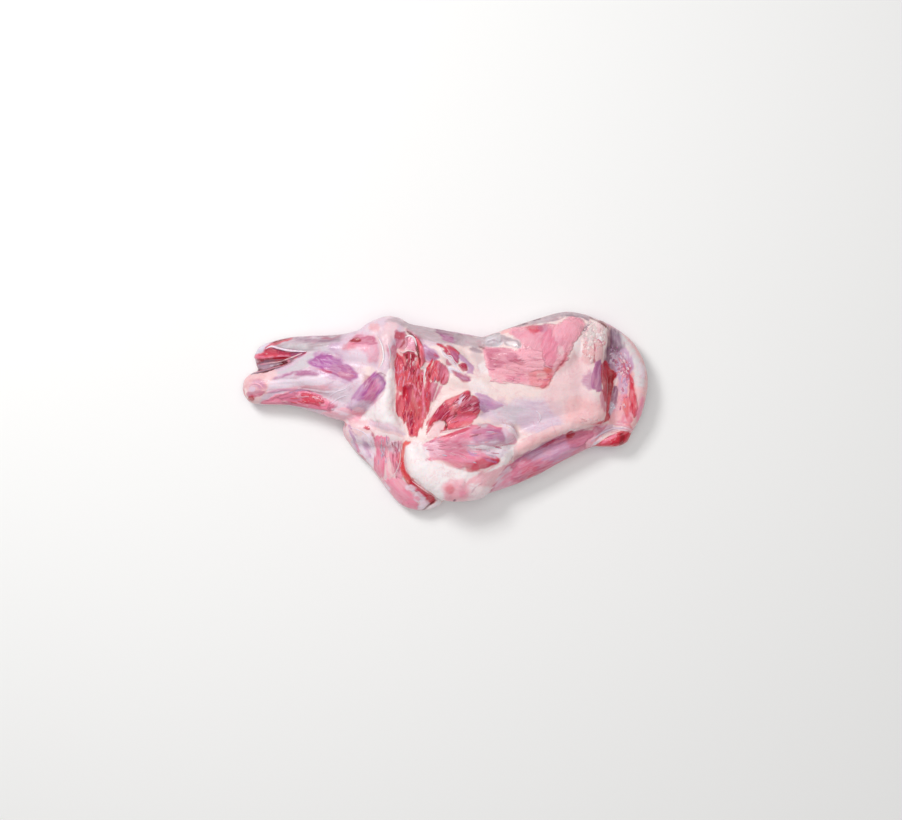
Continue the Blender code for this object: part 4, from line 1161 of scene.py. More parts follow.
@dataclass(frozen=True)
class FleshFinish:
    """The finish of moist raw meat, driven by the layers that the marks laid.

    Attributes:
        fibre: Length and widths of a muscle fibre, in metres.
        bundle: The same for a bundle of fibres.
        wisp: The same for a wisp of white film.
        fleck: The same for a pale fleck or a dark pit in cut lean.
        lobe: Size of a lobe of fat.
        mottle: Size of a patch of blush.
        grit: Size of the finest pits.
        vessel: Size of the net of small vessels.
        roughness: Roughness where nothing is filmy or wet.
        coat: Strength of the wet coat on a dry place.
        wet_coat: What full wetness adds to that.
        coat_roughness: Roughness of the wet coat.
        relief: Depth of the bumps, in metres.
        subsurface: How much light goes through the flesh.
    """

    fibre: tuple[float, float, float] = (0.020, 0.0010, 0.0018)
    bundle: tuple[float, float, float] = (0.032, 0.0030, 0.004)
    wisp: tuple[float, float, float] = (0.024, 0.0046, 0.006)
    fleck: tuple[float, float, float] = (0.0055, 0.0024, 0.003)
    lobe: float = 0.0075
    mottle: float = 0.016
    grit: float = 0.0016
    vessel: float = 0.012
    roughness: float = 0.5
    coat: float = 0.05
    wet_coat: float = 0.42
    coat_roughness: float = 0.1
    relief: float = 0.0013
    subsurface: float = 0.12

    # What darkens the gaps between bundles, fibres and lobes, the pits and the grit.
    BUNDLE_GAP = (0.84, 0.56, 0.62, 1)
    FIBRE_GAP = (0.84, 0.6, 0.66, 1)
    LOBE_GAP = (0.95, 0.8, 0.8, 1)
    PIT = (0.55, 0.2, 0.28, 1)
    GRIT = (0.7, 0.5, 0.56, 1)

    def colour(self, g: Graph, layers: Sequence[Wire], noises: dict[str, Wire]) -> Wire:
        """Works out the colour.

        Args:
            g: The tree to add to.
            layers: How lean, fat, filmy and wet the surface is.
            noises: The patterns, by name.

        Returns:
            The colour's wire.
        """
        lean, fat, film, _ = layers
        raw = lean * (1.0 - film).ramp(0.5, 1.0)
        fibres, bundles, mottle = (noises[name] for name in ("fibres", "bundles", "mottle"))
        colour = g.attribute("tint", "Color")
        for mask, shade, blend in (
                (lean * bundles.ramp(0.48, 0.34) * 0.4, self.BUNDLE_GAP, "MULTIPLY"),
                (lean * fibres.ramp(0.45, 0.3) * 0.4, self.FIBRE_GAP, "MULTIPLY"),
                (lean * bundles.ramp(0.57, 0.72) * 0.22, rgba(Shade.PINK), "MIX"),
                (raw * noises["flecks"].ramp(0.6, 0.72) * 0.5, rgba(Shade.BLUSH), "MIX"),
                (raw * noises["flecks"].ramp(0.38, 0.27) * 0.55, self.PIT, "MULTIPLY"),
                (film * mottle.ramp(0.48, 0.32) * 0.22, rgba(Shade.LILAC), "MIX"),
                (film * noises["wisps"].ramp(0.1, 0.01) * 0.22, rgba(Shade.PEARL), "MIX"),
                (fat * mottle.ramp(0.52, 0.68) * 0.2, rgba(Shade.BLUSH), "MIX"),
                (fat * noises["lobes"].ramp(0.5, 0.9) * 0.3, self.LOBE_GAP, "MULTIPLY"),
                ((fat + film) * noises["vessels"].ramp(0.05, 0.01) * mottle.ramp(0.45, 0.6)
                 * 0.2, rgba(Shade.ROSE), "MIX"),
                (noises["grit"].ramp(0.55, 0.75) * 0.12, self.GRIT, "MULTIPLY")):
            colour = g.mix(mask, colour, shade, blend)
        return colour

    def patterns(self, g: Graph) -> dict[str, Wire]:
        """Adds the noises, those of the fibres plain where the fibres' direction jumps."""
        grain = g.attribute("grain", "Vector")
        here = g.node("ShaderNodeTexCoord", output="Object")
        whole = 1.0 - g.attribute("seam")
        lobes = {"Vector": g.stretched(here, (self.lobe,) * 3), "Scale": 1.0, "Smoothness": 0.6}
        return {
            "fibres": 0.5 + (g.noise(grain, self.fibre, 3.0, 0.6, 0.15) - 0.5) * whole,
            "bundles": 0.5 + (g.noise(grain, self.bundle, 2.0, 0.5, 0.5) - 0.5) * whole,
            "mottle": g.noise(here, (self.mottle,) * 3, 5.0, 0.6, 0.4),
            "wisps": 1.0 - (1.0 - g.noise(grain, self.wisp, 3.0, 0.5, 0.3).ridge()) * whole,
            "vessels": g.noise(here, (self.vessel,) * 3, 3.0, 0.5, 0.8).ridge(),
            "flecks": g.noise(grain, self.fleck, 2.0, 0.55, 0.4),
            "grit": g.noise(here, (self.grit,) * 3),
            "lobes": g.node("ShaderNodeTexVoronoi", {"feature": "SMOOTH_F1"}, lobes),
        }

    def height(self, layers: Sequence[Wire], noises: dict[str, Wire]) -> Wire:
        """Adds up the bumps of fibres, flecks, film, lobes, grit and mottle."""
        lean, fat, film, _ = layers
        return (lean * (noises["fibres"] * 0.5 + noises["bundles"] * 0.7)
                + noises["flecks"] * lean * (1.0 - film) * 0.9
                + film * (noises["bundles"] * 0.25 - noises["wisps"] * 0.25)
                + fat * (1.0 - noises["lobes"]) * 0.6 + noises["grit"] * 0.14
                + noises["mottle"] * 0.4)

    def material(self, name: str) -> bpy.types.Material:
        """Builds the material."""
        g = Graph(name)
        layers = [g.attribute(layer) for layer in LAYERS]
        _, _, film, wet = layers
        noises = self.patterns(g)
        bump = {"Strength": 0.8, "Distance": self.relief, "Height": self.height(layers, noises)}
        for socket, value in {
                "Base Color": self.colour(g, layers, noises),
                "Roughness": (self.roughness - film * 0.12 - wet * 0.2
                              + (noises["mottle"] - 0.5) * 0.25),
                "Coat Weight": self.coat + wet * self.wet_coat,
                "Normal": g.node("ShaderNodeBump", None, bump),
                "Coat Roughness": self.coat_roughness, "Coat IOR": 1.4,
                "Subsurface Weight": self.subsurface,
                "Subsurface Radius": (1.0, 0.4, 0.3), "Subsurface Scale": 0.004,
                "Specular IOR Level": 0.26}.items():
            g.plug(g.shader.inputs[socket], value)
        return g.material


@dataclass
class Flesh:
    """The whole joint of meat as one fine skin.

    Attributes:
        voxel: The distance between the skin's points.
        smoothing: How often the facets of the solid are smoothed away.
        fat_lump: How far lumps of fat stand proud.
        fibre_ridge: How far ridges of fibre stand proud.
        base_height: The height below which relief fades and creases get no painted shade.
        crease_reach: How often the skin is blurred to find its creases.
        finish: The material's sizes.
        seed: The seed of its noise.
    """

    voxel: float = 1.05
    smoothing: int = 14
    fat_lump: float = 0.5
    fibre_ridge: float = 0.3
    base_height: float = 2.0
    crease_reach: int = 12
    finish: FleshFinish = FleshFinish()
    seed: int = 7

    # Faces that look down this far are part of the base, and relief starts at this height.
    BASE_FACING, BASE_LEVEL = -0.97, 0.3
    # How far up the skin looks where the outer side's fell is full, and where it is gone.
    SIDE = (-0.1, 0.45)
    # How far that strays and over what length, and the length of the fell's blotches.
    SIDE_SWAY, SIDE_CELL = 0.25, 16.0
    BLOTCH_CELL = 42.0
    # The lengths of lumps and of ridges, and how high lumps are where there is no fat.
    LUMP_CELL = 9.0
    RIDGE_CELLS = (14.0, 2.8, 5.0)
    LEAN_LUMP = 0.35
    # A jump of the fibres' direction over an edge, in voxels, and its share one point further.
    SEAM_JUMP, SEAM_FADE = 3.0, 0.6
    # The depths between which creases get painted shade and ridges a painted highlight, and by how much.
    CREASE, RIDGE = (0.12, 0.9), (0.15, 0.9)
    CREASE_DARK, LEAN_DARK, RIDGE_PALE = 0.25, 0.35, 0.2
    PAINTED_SHADE_TINT = np.array((0.72, 0.42, 0.5))
    # How far the fibres sway, and over what length.
    SWAY, SWAY_CELL = 1.2, 11.0

    def resurface(self) -> bpy.types.Mesh:
        """Draws a fine even skin over the solid and smooths its facets."""
        made = show("skin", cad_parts[CAD_NODE].data.copy())
        remesh = made.modifiers.new("skin", "REMESH")
        remesh.mode = "VOXEL"
        remesh.voxel_size = self.voxel * MM
        relax = made.modifiers.new("relax", "SMOOTH")
        relax.factor, relax.iterations = 0.5, self.smoothing
        graph = bpy.context.evaluated_depsgraph_get()
        mesh = bpy.data.meshes.new_from_object(made.evaluated_get(graph))
        bpy.data.objects.remove(made)
        mesh.materials.clear()
        self.thin_base(mesh)
        return mesh

    def thin_base(self, mesh: bpy.types.Mesh) -> None:
        """Makes the flat base one face, since nothing is drawn on it."""
        held = bmesh.new()
        held.from_mesh(mesh)
        flat = {f for f in held.faces
                if f.normal.z < self.BASE_FACING and f.calc_center_median().z < MM}
        inner = [f for f in flat if all(g in flat for e in f.edges for g in e.link_faces)]
        bmesh.ops.dissolve_faces(held, faces=inner, use_verts=True)
        held.to_mesh(mesh)
        held.free()

    def ground(self, surface: Surface, ripple: Ripple) -> None:
        """Lays cream fat everywhere, and the blotched fell of the outer side below."""
        surface.tint[:] = Shade.CREAM.linear()
        surface.layers[:] = Tissue.SOFT_FAT.value
        stray = self.SIDE_SWAY * ripple.cloud(surface.places, self.SIDE_CELL)
        side = 1.0 - smoothstep(*self.SIDE, surface.normals[:, 2] + stray)
        cloud = ripple.cloud(surface.places, self.BLOTCH_CELL)
        for shade, tissue, weight in (
                (Shade.BLUSH, Tissue.FELL, side),
                (Shade.FELL, Tissue.FELL, side * smoothstep(-0.1, 0.25, cloud) * 0.8),
                (Shade.LILAC, Tissue.VEILED, side * smoothstep(0.12, 0.3, -cloud) * 0.75)):
            strength = weight[:, None]
            surface.tint += (shade.linear() - surface.tint) * strength
            surface.layers += (np.array(tissue.value) - surface.layers) * strength

    def carve(self, surface: Surface, ripple: Ripple) -> np.ndarray:
        """Works out the finished positions: marks' relief, lumps of fat and ridges of fibre."""
        lean, fat = surface.layers[:, 0], surface.layers[:, 1]
        share = self.LEAN_LUMP + (1.0 - self.LEAN_LUMP) * fat
        lumps = ripple.cloud(surface.places, self.LUMP_CELL) * self.fat_lump * share
        ridges = ripple(surface.grain, self.RIDGE_CELLS) * self.fibre_ridge * lean
        free = smoothstep(self.BASE_LEVEL, self.base_height, surface.places[:, 2])
        lift = (surface.lift + lumps + ridges) * free
        return inside_box((surface.places + surface.normals * lift[:, None]) * MM) / MM

    def joins(self, mesh: bpy.types.Mesh) -> np.ndarray:
        """Reads the two ends of every edge, one kind of end a row."""
        edges = np.empty(len(mesh.edges) * 2, np.int32)
        mesh.edges.foreach_get("vertices", edges)
        return edges.reshape(-1, 2).T

    def find_seams(self, mesh: bpy.types.Mesh, surface: Surface) -> np.ndarray:
        """Marks with 1 the points where the fibres' direction jumps, and less those beside them."""
        a, b = self.joins(mesh)
        jump = np.linalg.norm(surface.grain[a] - surface.grain[b], axis=1)
        torn = jump > self.SEAM_JUMP * self.voxel
        seams = np.zeros(len(surface.places))
        seams[a[torn]] = seams[b[torn]] = 1.0
        near = np.maximum(seams[a], seams[b]) * self.SEAM_FADE
        np.maximum.at(seams, a, near)
        np.maximum.at(seams, b, near)
        return seams

    def paint_crease_shade_and_ridge_highlight(self, mesh: bpy.types.Mesh, made: np.ndarray, surface: Surface) -> None:
        """Paints shade into the creases of the carved skin and a highlight onto its ridges."""
        a, b = self.joins(mesh)
        count = len(made)
        links = np.bincount(a, minlength=count) + np.bincount(b, minlength=count)
        blurred = made.copy()
        for _ in range(self.crease_reach):
            for axis in range(3):
                held = blurred[:, axis]
                total = np.bincount(a, held[b], count) + np.bincount(b, held[a], count)
                blurred[:, axis] = (held + total / links) / 2
        hollow = ((blurred - made) * surface.normals).sum(1)
        hollow[made[:, 2] < self.base_height] = 0.0
        # Painted shade darkens the creases, more on lean, and a painted highlight pales the ridges towards
        # pearl.
        strength = self.CREASE_DARK + self.LEAN_DARK * surface.layers[:, :1]
        dark = smoothstep(*self.CREASE, hollow)[:, None] * strength
        pale = smoothstep(*self.RIDGE, -hollow)[:, None] * self.RIDGE_PALE
        surface.tint *= 1.0 - dark * (1.0 - self.PAINTED_SHADE_TINT)
        surface.tint += (Shade.PEARL.linear() - surface.tint) * pale

    def build(self) -> bpy.types.Object:
        """Builds, carves and dresses the flesh.

        Returns:
            The finished object, which stands for the solid.
        """
        mesh = self.resurface()
        count = len(mesh.vertices)
        places, normals = (np.empty(count * 3, np.float32) for _ in range(2))
        mesh.vertices.foreach_get("co", places)
        mesh.vertex_normals.foreach_get("vector", normals)
        surface = Surface(places.reshape(-1, 3).astype(float) / MM,
                          normals.reshape(-1, 3).astype(float))
        ripple = Ripple(self.seed)
        self.ground(surface, ripple)
        for name, marks in REGIONS.items():
            for mark in marks():
                mark.lay(surface, ripple)
            log.info("laid the marks of the %s", name)
        carved = self.carve(surface, ripple)
        self.paint_crease_shade_and_ridge_highlight(mesh, carved, surface)
        mesh.vertices.foreach_set("co", (carved * MM).ravel())
        self.keep(mesh, surface, ripple)
        mesh.shade_smooth()
        made = show("shoulder_flesh", mesh)
        mesh.materials.append(self.finish.material("raw_lamb_flesh"))
        return made

    def keep(self, mesh: bpy.types.Mesh, surface: Surface, ripple: Ripple) -> None:
        """Keeps the layers on the mesh, and lets the fibres sway."""
        grain = surface.grain.copy()
        grain[:, 1] += self.SWAY * ripple(surface.places, self.SWAY_CELL)
        store(mesh, surface.tint, surface.layers, grain * MM, self.find_seams(mesh, surface))


class Skin:
    """The finished flesh, on which the loose pieces are laid."""

    # A line stops at a higher step than this, and where the skin looks up less than this.
    RISE_LIMIT = 2.5
    LEAST_FACING = 0.15

    def __init__(self, flesh: bpy.types.Object) -> None:
        """Prepares the flesh for ray casts."""
        mesh = flesh.data
        self.tree = BVHTree.FromPolygons([v.co for v in mesh.vertices],
                                         [p.vertices for p in mesh.polygons])
        self.eye = Vector((Surface.EYE_X, Surface.EYE_Y, Surface.EYE_HEIGHT)) * MM

    def drop(self, x: float, y: float) -> tuple[Vector, Vector] | None:
        """Finds where a plan position lies on the flesh.

        Args:
            x: Position along the joint of meat, in millimetres.
            y: Position across it.

        Returns:
            The place in metres and the surface's normal, or None beside the flesh.
        """
        aim = Vector((x, y, Surface.PLAN_LEVEL)) * MM - self.eye
        place, normal, _, _ = self.tree.ray_cast(self.eye, aim.normalized())
        return None if place is None else (place, normal)

    def follow(self, plan: np.ndarray) -> list[tuple[Vector, Vector]]:
        """Lays a line on the flesh, as far as it runs without a sudden step."""
        found = []
        for x, y in plan:
            spot = self.drop(x, y)
            if spot is None or spot[1].z < self.LEAST_FACING:
                break
            if found and abs(spot[0].z - found[-1][0].z) > self.RISE_LIMIT * MM:
                break
            found.append(spot)
        return found


@dataclass(frozen=True)
class Strand:
    """One strand of tissue that lies on the flesh: a fibre, a sinew or a fold of skin.

    Attributes:
        points: x, y, x, y of its line in plan.
        width: Its full width.
        thick: Its full thickness.
        shade: Its colour.
        tissue: What it is made of.
        lift: How far its middle stands off the flesh, as a share of its thickness.
        blunt: How much of its width its ends keep.
    """

    points: tuple[float, ...]
    width: float
    thick: float
    shade: Shade
    tissue: Tissue = Tissue.MEMBRANE
    lift: float = 0.1
    blunt: float = 0.15

    STEP = 1.1
    SIDES = 7
    FULLNESS = 0.7

    def plan(self) -> np.ndarray:
        """The line's points in plan, about STEP apart."""
        ends = np.asarray(self.points, float).reshape(-1, 2)
        length = np.linalg.norm(np.diff(ends, axis=0), axis=1).mean()
        return smooth_line(self.points, max(2, round(length / self.STEP)))

    def size_at(self, share: float) -> float:
        """How much of its width the strand has at a share of its length."""
        return self.blunt + (1 - self.blunt) * math.sin(math.pi * share) ** self.FULLNESS


class Pieces:
    """A mesh of many loose bits, with the same layers as the flesh."""

    # The fewest points of a strand, and how far strands turn upward from the skin.
    LEAST_POINTS = 4
    UPRIGHT = Vector((0, 0, 0.5))
    # Lumps from this width on have more faces. All are flattened, and swell in a few waves.
    FINE_FROM = 2.5
    FLATNESS = (0.5, 0.8)
    WAVES, PITCH, PHASE = 4, 3, 5
    SWELL = 0.11

    def __init__(self) -> None:
        """Starts an empty mesh."""
        self.places: list[Vector] = []
        self.faces: list[tuple[int, ...]] = []
        self.marks: list[tuple[Shade, Tissue]] = []
        self.grain: list[tuple[float, float, float]] = []

    def strand(self, skin: Skin, strand: Strand) -> None:
        """Lays one strand on the skin."""
        path = skin.follow(strand.plan())
        if len(path) < self.LEAST_POINTS:
            return
        sides, first, last = strand.SIDES, len(self.places), len(path) - 1
        for i, (place, normal) in enumerate(path):
            along = (path[min(i + 1, last)][0] - path[max(i - 1, 0)][0]).normalized()
            up = (normal + self.UPRIGHT).normalized()
            across = along.cross(up).normalized()
            size = strand.size_at(i / last)
            for k in range(sides):
                turn = 2 * math.pi * k / sides
                out = across * (math.cos(turn) * strand.width / 2)
                out += up * ((math.sin(turn) / 2 + strand.lift) * strand.thick)
                self.places.append(place + out * size * MM)
                self.grain.append((i * strand.STEP * MM, math.cos(turn) * strand.width * MM, 0))
        for i in range(last):
            for k in range(sides):
                a, b = first + i * sides + k, first + i * sides + (k + 1) % sides
                self.faces.append((a, b, b + sides, a + sides))
        self.faces.append(tuple(first + k for k in reversed(range(sides))))
        self.faces.append(tuple(first + last * sides + k for k in range(sides)))
        self.marks += [(strand.shade, strand.tissue)] * (len(self.places) - first)

    def lump(self, place: Vector, normal: Vector, size: float, heap: "Heap",
             draw: np.random.Generator) -> None:
        """Sets one uneven lump into the skin, longer along the heap's direction.

        Args:
            place: Where it lies.
            normal: The skin's normal there.
            size: Its width in millimetres.
            heap: Its shades, tissue, direction and stretch.
            draw: The source of its unevenness.
        """
        ball = bmesh.new()
        fineness = 2 if size < self.FINE_FROM else 3
        bmesh.ops.create_icosphere(ball, subdivisions=fineness, radius=size / 2 * MM)
        turn = math.radians(heap.way + draw.uniform(-heap.sway, heap.sway))
        across = normal.cross(Vector((math.cos(turn), math.sin(turn), 0.0))).normalized()
        along = across.cross(normal)
        long, flat = draw.uniform(1.0, heap.stretch), draw.uniform(*self.FLATNESS)
        bulges = draw.uniform(-1, 1, (self.WAVES, 3))
        shade = heap.shades[draw.integers(len(heap.shades))]
        first = len(self.places)
        for vert in ball.verts:
            way = vert.co.normalized()
            waves = sum(math.sin(self.PITCH * way.dot(Vector(b)) + self.PHASE * b[0])
                        for b in bulges)
            x, y, z = vert.co * (1 + self.SWELL * waves)
            self.places.append(place + along * (x * long) + across * y + normal * (z * flat))
            self.grain.append((x, y, z))
        self.faces += [tuple(first + v.index for v in face.verts) for face in ball.faces]
        self.marks += [(shade, heap.tissue)] * len(ball.verts)
        ball.free()

    def build(self, name: str, finish: bpy.types.Material) -> bpy.types.Object:
        """Makes the object.

        Args:
            name: The piece's name.
            finish: The flesh's material.

        Returns:
            The object, which rides on the joint of meat.
        """
        mesh = bpy.data.meshes.new(name)
        places = inside_box(np.array([tuple(place) for place in self.places]))
        mesh.from_pydata(places, [], self.faces)
        mesh.shade_smooth()
        tints, layers = (np.array(values) for values in
                         zip(*((shade.linear(), tissue.value) for shade, tissue in self.marks)))
        store(mesh, tints, layers, np.array(self.grain), np.zeros(len(tints)))
        mesh.materials.append(finish)
        return attach(show(name, mesh))


def scatter(outline: tuple[float, ...], count: int, inset: float,
            draw: np.random.Generator) -> np.ndarray:
    """Draws plan positions inside an outline.

    Args:
        outline: x, y, x, y of its edge.
        count: The most positions to keep.
        inset: How far inside the edge they lie at least.
        draw: The source of the positions.

    Returns:
        The positions, one a row.
    """
    ring = smooth_line(outline, steps=3, closed=True)
    spots = draw.uniform(ring.min(0), ring.max(0), (count * SPARE, 2))
    return spots[depth_inside(spots, ring) > inset][:count]


@dataclass(frozen=True)
class Muscle:
    """A bare muscle on which torn fibres stand up.

    Attributes:
        outline: x, y, x, y of its edge in plan.
        way: Its fibres' direction in degrees from +X, or the point that they fan out from.
        count: How many bundles it has.
        shades: The bundles' colours.
    """

    outline: tuple[float, ...]
    way: float | tuple[float, float]
    count: int
    shades: tuple[Shade, ...]


@dataclass
class TornFibres:
    """Short bundles of fibre that stand up on the cut and bare muscles.

    Attributes:
        length: The shortest and the longest bundle.
        width: The thinnest and the widest bundle.
        sway: How far a bundle strays from its muscle's fibres and bends, in degrees.
        flat: Its thickness as a share of its width.
        inset: How far inside its muscle it lies.
        seed: The seed of its draws.
        muscles: Where the bundles stand.
    """

    length: tuple[float, float] = (4.0, 11.0)
    width: tuple[float, float] = (0.8, 1.9)
    sway: float = 12.0
    flat: float = 0.22
    inset: float = 0.6
    seed: int = 11
    muscles: tuple[Muscle, ...] = (
        Muscle((-49, 56, -44, 52, -41, 40, -42, 28, -50, 27, -52, 40), 88.0, 16,
               (Shade.CANDY, Shade.PINK, Shade.RAW)),
        Muscle((-40, 58, -31, 58, -28, 50, -31, 42, -39, 42), 84.0, 20,
               (Shade.BLUSH, Shade.PEACH, Shade.WINE, Shade.LEAN, Shade.CRIMSON)),
        Muscle((-40, 40, -24, 42, -22, 22, -26, -4, -30, 12, -36, 29), 86.0, 34,
               (Shade.RAW, Shade.LEAN, Shade.SCARLET, Shade.CANDY)),
        Muscle((-48, 12, -41, 6, -34, 2, -26, -4, -27, -16, -31, -24, -39, -18, -44, -6), 88.0, 36,
               (Shade.RAW, Shade.LEAN, Shade.CANDY, Shade.CORAL, Shade.SCARLET, Shade.WINE)),
        Muscle((-18, 44, -10, 52, 0, 44, -1, 30, -10, 26, -18, 0, -20, 20), 76.0, 18,
               (Shade.LEAN, Shade.RAW, Shade.DUSKY)),
        Muscle((10, 15, 25, 18, 34, 8, 32, 0, 12, 2), FAN_ROOT, 26,
               (Shade.RAW, Shade.LEAN, Shade.WINE, Shade.PINK)),
        Muscle((-16, -12, -6, 4, 12, 0, 25, -4, 12, -14, 4, -8, -8, -8), FAN_ROOT, 18,
               (Shade.RAW, Shade.LEAN, Shade.CANDY)),
        Muscle((-14, -30, 10, -20, 40, -16, 60, -22, 66, -30, 48, -52, 30, -57, 0, -48, -14, -44),
               FAN_HEEL, 34, (Shade.PINK, Shade.PETAL, Shade.PALE_LILAC, Shade.ROSE)),
        Muscle((-170, 10, -150, 18, -130, 14, -120, 4, -150, 6), -6.0, 16,
               (Shade.RAW, Shade.PINK, Shade.PETAL)),
        Muscle((46, 60, 72, 58, 110, 50, 100, 28, 50, 36), -5.0, 26,
               (Shade.PETAL, Shade.BLOSSOM, Shade.CANDY)),
        Muscle((-55, -32, -45, -36, -44, -60, -52, -66), 95.0, 26,
               (Shade.ROSE, Shade.PETAL, Shade.CANDY)),
        Muscle((-70, -28, -58, -28, -62, -60, -70, -58), 88.0, 14,
               (Shade.LILAC, Shade.PALE_LILAC, Shade.PINK)),
    )

    def build(self, skin: Skin, finish: bpy.types.Material) -> bpy.types.Object:
        """Scatters the bundles and lays them along the fibres."""
        draw = np.random.default_rng(self.seed)
        made = Pieces()
        for muscle in self.muscles:
            for x, y in scatter(muscle.outline, muscle.count, self.inset, draw):
                way, shades = muscle.way, muscle.shades
                turn = (math.atan2(y - way[1], x - way[0]) if isinstance(way, tuple)
                        else math.radians(way))
                turn += math.radians(draw.uniform(-self.sway, self.sway))
                bend = math.radians(draw.uniform(-self.sway, self.sway))
                half = draw.uniform(*self.length) / 2
                ends = (x - math.cos(turn) * half, y - math.sin(turn) * half, x, y,
                        x + math.cos(turn + bend) * half, y + math.sin(turn + bend) * half)
                width = draw.uniform(*self.width)
                shade = shades[draw.integers(len(shades))]
                made.strand(skin, Strand(ends, width, self.flat * width, shade, Tissue.LEAN, 0.0))
        return made.build("torn_fibres", finish)


@dataclass(frozen=True)
class Heap:
    """A patch of flesh that is covered with lumps.

    Attributes:
        outline: x, y, x, y of its edge in plan.
        count: How many lumps it has.
        largest: The widest lump.
        shades: The lumps' colours.
        tissue: What they are made of.
        way: The direction of their length, in degrees from +X.
        sway: How far that direction strays.
        stretch: The most that a lump is longer than wide.
    """

    outline: tuple[float, ...]
    count: int
    largest: float
    shades: tuple[Shade, ...]
    tissue: Tissue = Tissue.FAT
    way: float = 80.0
    sway: float = 50.0
    stretch: float = 2.4


@dataclass
class Lumps:
    """Heaps of lumps that sit in the flesh, such as crumpled fat or wet tissue.

    Attributes:
        name: The piece's name.
        seed: The seed of its draws.
        heaps: Its patches.
        smallest: The narrowest lump.
    """

    name: str
    seed: int
    heaps: tuple[Heap, ...]
    smallest: float = 1.5

    # How far a lump is sunk, as a share of its width, and how rare wide lumps are.
    SUNK = 0.2
    SKEW = 1.5
    # There are no lumps where the skin looks up less than this.
    LEAST_FACING = 0.2

    def build(self, skin: Skin, finish: bpy.types.Material) -> bpy.types.Object:
        """Scatters the lumps and sets them into the flesh."""
        draw = np.random.default_rng(self.seed)
        made = Pieces()
        for heap in self.heaps:
            for x, y in scatter(heap.outline, heap.count, 0.0, draw):
                spot = skin.drop(x, y)
                share = draw.uniform() ** self.SKEW
                size = self.smallest + (heap.largest - self.smallest) * share
                if spot is not None and spot[1].z > self.LEAST_FACING:
                    place = spot[0] - spot[1] * self.SUNK * size * MM
                    made.lump(place, spot[1], size, heap, draw)
        return made.build(self.name, finish)


def fat_crumbs() -> Lumps:
    """The crumpled fat of the end ridge, and a few crumbs by the cleft."""
    grey = (Shade.BONE, Shade.CREAM, Shade.BONE, Shade.BLUSH)
    pale = (Shade.CREAM, Shade.BLUSH, Shade.CREAM, Shade.IVORY)
    pink = (Shade.BLUSH, Shade.SALMON, Shade.PEACH, Shade.CREAM)
    return Lumps("fat_crumbs", 5, (
        Heap((142, 74, 142, 86, 147, 91, 155, 90, 156, 80, 153, 72, 147, 68), 70, 4.4, grey),
        Heap((154, 76, 155, 89, 161, 89, 166.6, 84, 167, 79, 163, 73), 55, 4.0, pale),
        Heap((153, 76, 163, 74, 163, 67, 155, 65), 24, 3.4, pink),
        Heap((141, 66, 144, 72, 150, 68, 152.6, 60, 152, 51, 146, 54, 142, 59), 60, 3.6, pink),
        Heap((134, -12, 156, -13, 158, -8, 150, -2, 138, -6), 16, 3.0, pink, way=10.0),
    ))


def wet_lumps() -> Lumps:
    """The glossy tissue beside the cleft."""
    mixed = (Shade.PALE_LILAC, Shade.LILAC, Shade.BLUSH, Shade.PINK, Shade.DUSKY, Shade.PETAL)
    dim = (Shade.LILAC, Shade.MAUVE, Shade.PALE_LILAC)
    return Lumps("wet_lumps", 9, (
        Heap((171, 43, 173, 52, 178, 60, 186, 58, 190, 48, 189, 36, 187, 26, 182, 18, 178, 28,
              177, 38), 80, 3.8, mixed, Tissue.GRISTLE),
        Heap((167, 54, 170, 66, 177, 66, 176, 56, 170, 48), 22, 3.0, dim, Tissue.GRISTLE),
        Heap((178, 4, 182, 14, 187, 14, 185, 4, 181, 0), 12, 2.8, mixed, Tissue.GRISTLE),
        Heap((168, 2, 170, 8, 174, 8, 173, 1), 6, 2.2, (Shade.MIST, Shade.PEARL), Tissue.GRISTLE),
    ))


@dataclass
class Strands:
    """Strands of tissue that lie on the flesh.

    Attributes:
        name: The piece's name.
        strands: Its strands.
    """

    name: str
    strands: tuple[Strand, ...]

    def build(self, skin: Skin, finish: bpy.types.Material) -> bpy.types.Object:
        """Lays the strands."""
        made = Pieces()
        for strand in self.strands:
            made.strand(skin, strand)
        return made.build(self.name, finish)


def sinews() -> Strands:
    """White sinews and wisps that stand proud of the silverskin and the muscles; one on the blade is a
    painted highlight.
    """
    return Strands("sinews", (
        Strand((-186, 49, -170, 51, -158, 55, -146, 60), 2.0, 0.9, Shade.BLUSH),
        Strand((-120, 14, -112, 20, -103, 23, -97, 28), 1.3, 0.6, Shade.PEARL),
        Strand((-117, 8, -108, 14, -99, 17), 1.2, 0.8, Shade.PEARL),
        Strand((-68, 75, -64, 66, -63, 54, -67, 45), 2.0, 1.1, Shade.IVORY),
        Strand((-58, 70, -56, 60, -56, 50), 1.4, 1.0, Shade.FELL),
        Strand((-4, 66, -1.5, 59, 3, 55.8, 9, 49.8, 14, 42, 19, 39), 1.5, 0.9, Shade.PEARL),
        Strand((0, 57.6, 6, 57, 9.4, 52, 13.4, 47.6), 1.1, 0.8, Shade.PEARL),
        Strand((-4, -21.6, 6, -20.2, 16, -17.8, 27, -14.6), 1.8, 1.1, Shade.BLUSH),
        Strand((57, -12.6, 66, -15, 71.6, -20, 73.6, -27, 71, -32), 1.5, 1.0, Shade.PEARL),
        # A pale C-shaped strand on the blade's membrane, whose whiteness is a painted highlight.
        Strand((93, 1, 97, -3, 97.6, -8, 94, -13), 1.6, 0.9, Shade.PEARL),
        Strand((-46, -38, -46, -50, -50, -62, -57, -70), 1.2, 0.8, Shade.BLUSH),
        Strand((-97, -16, -84, -21, -76, -30, -73, -42), 1.3, 0.8, Shade.PEARL),
        Strand((-104, -16, -96, -28, -86, -40, -78, -50), 1.2, 0.8, Shade.PEARL),
    ))


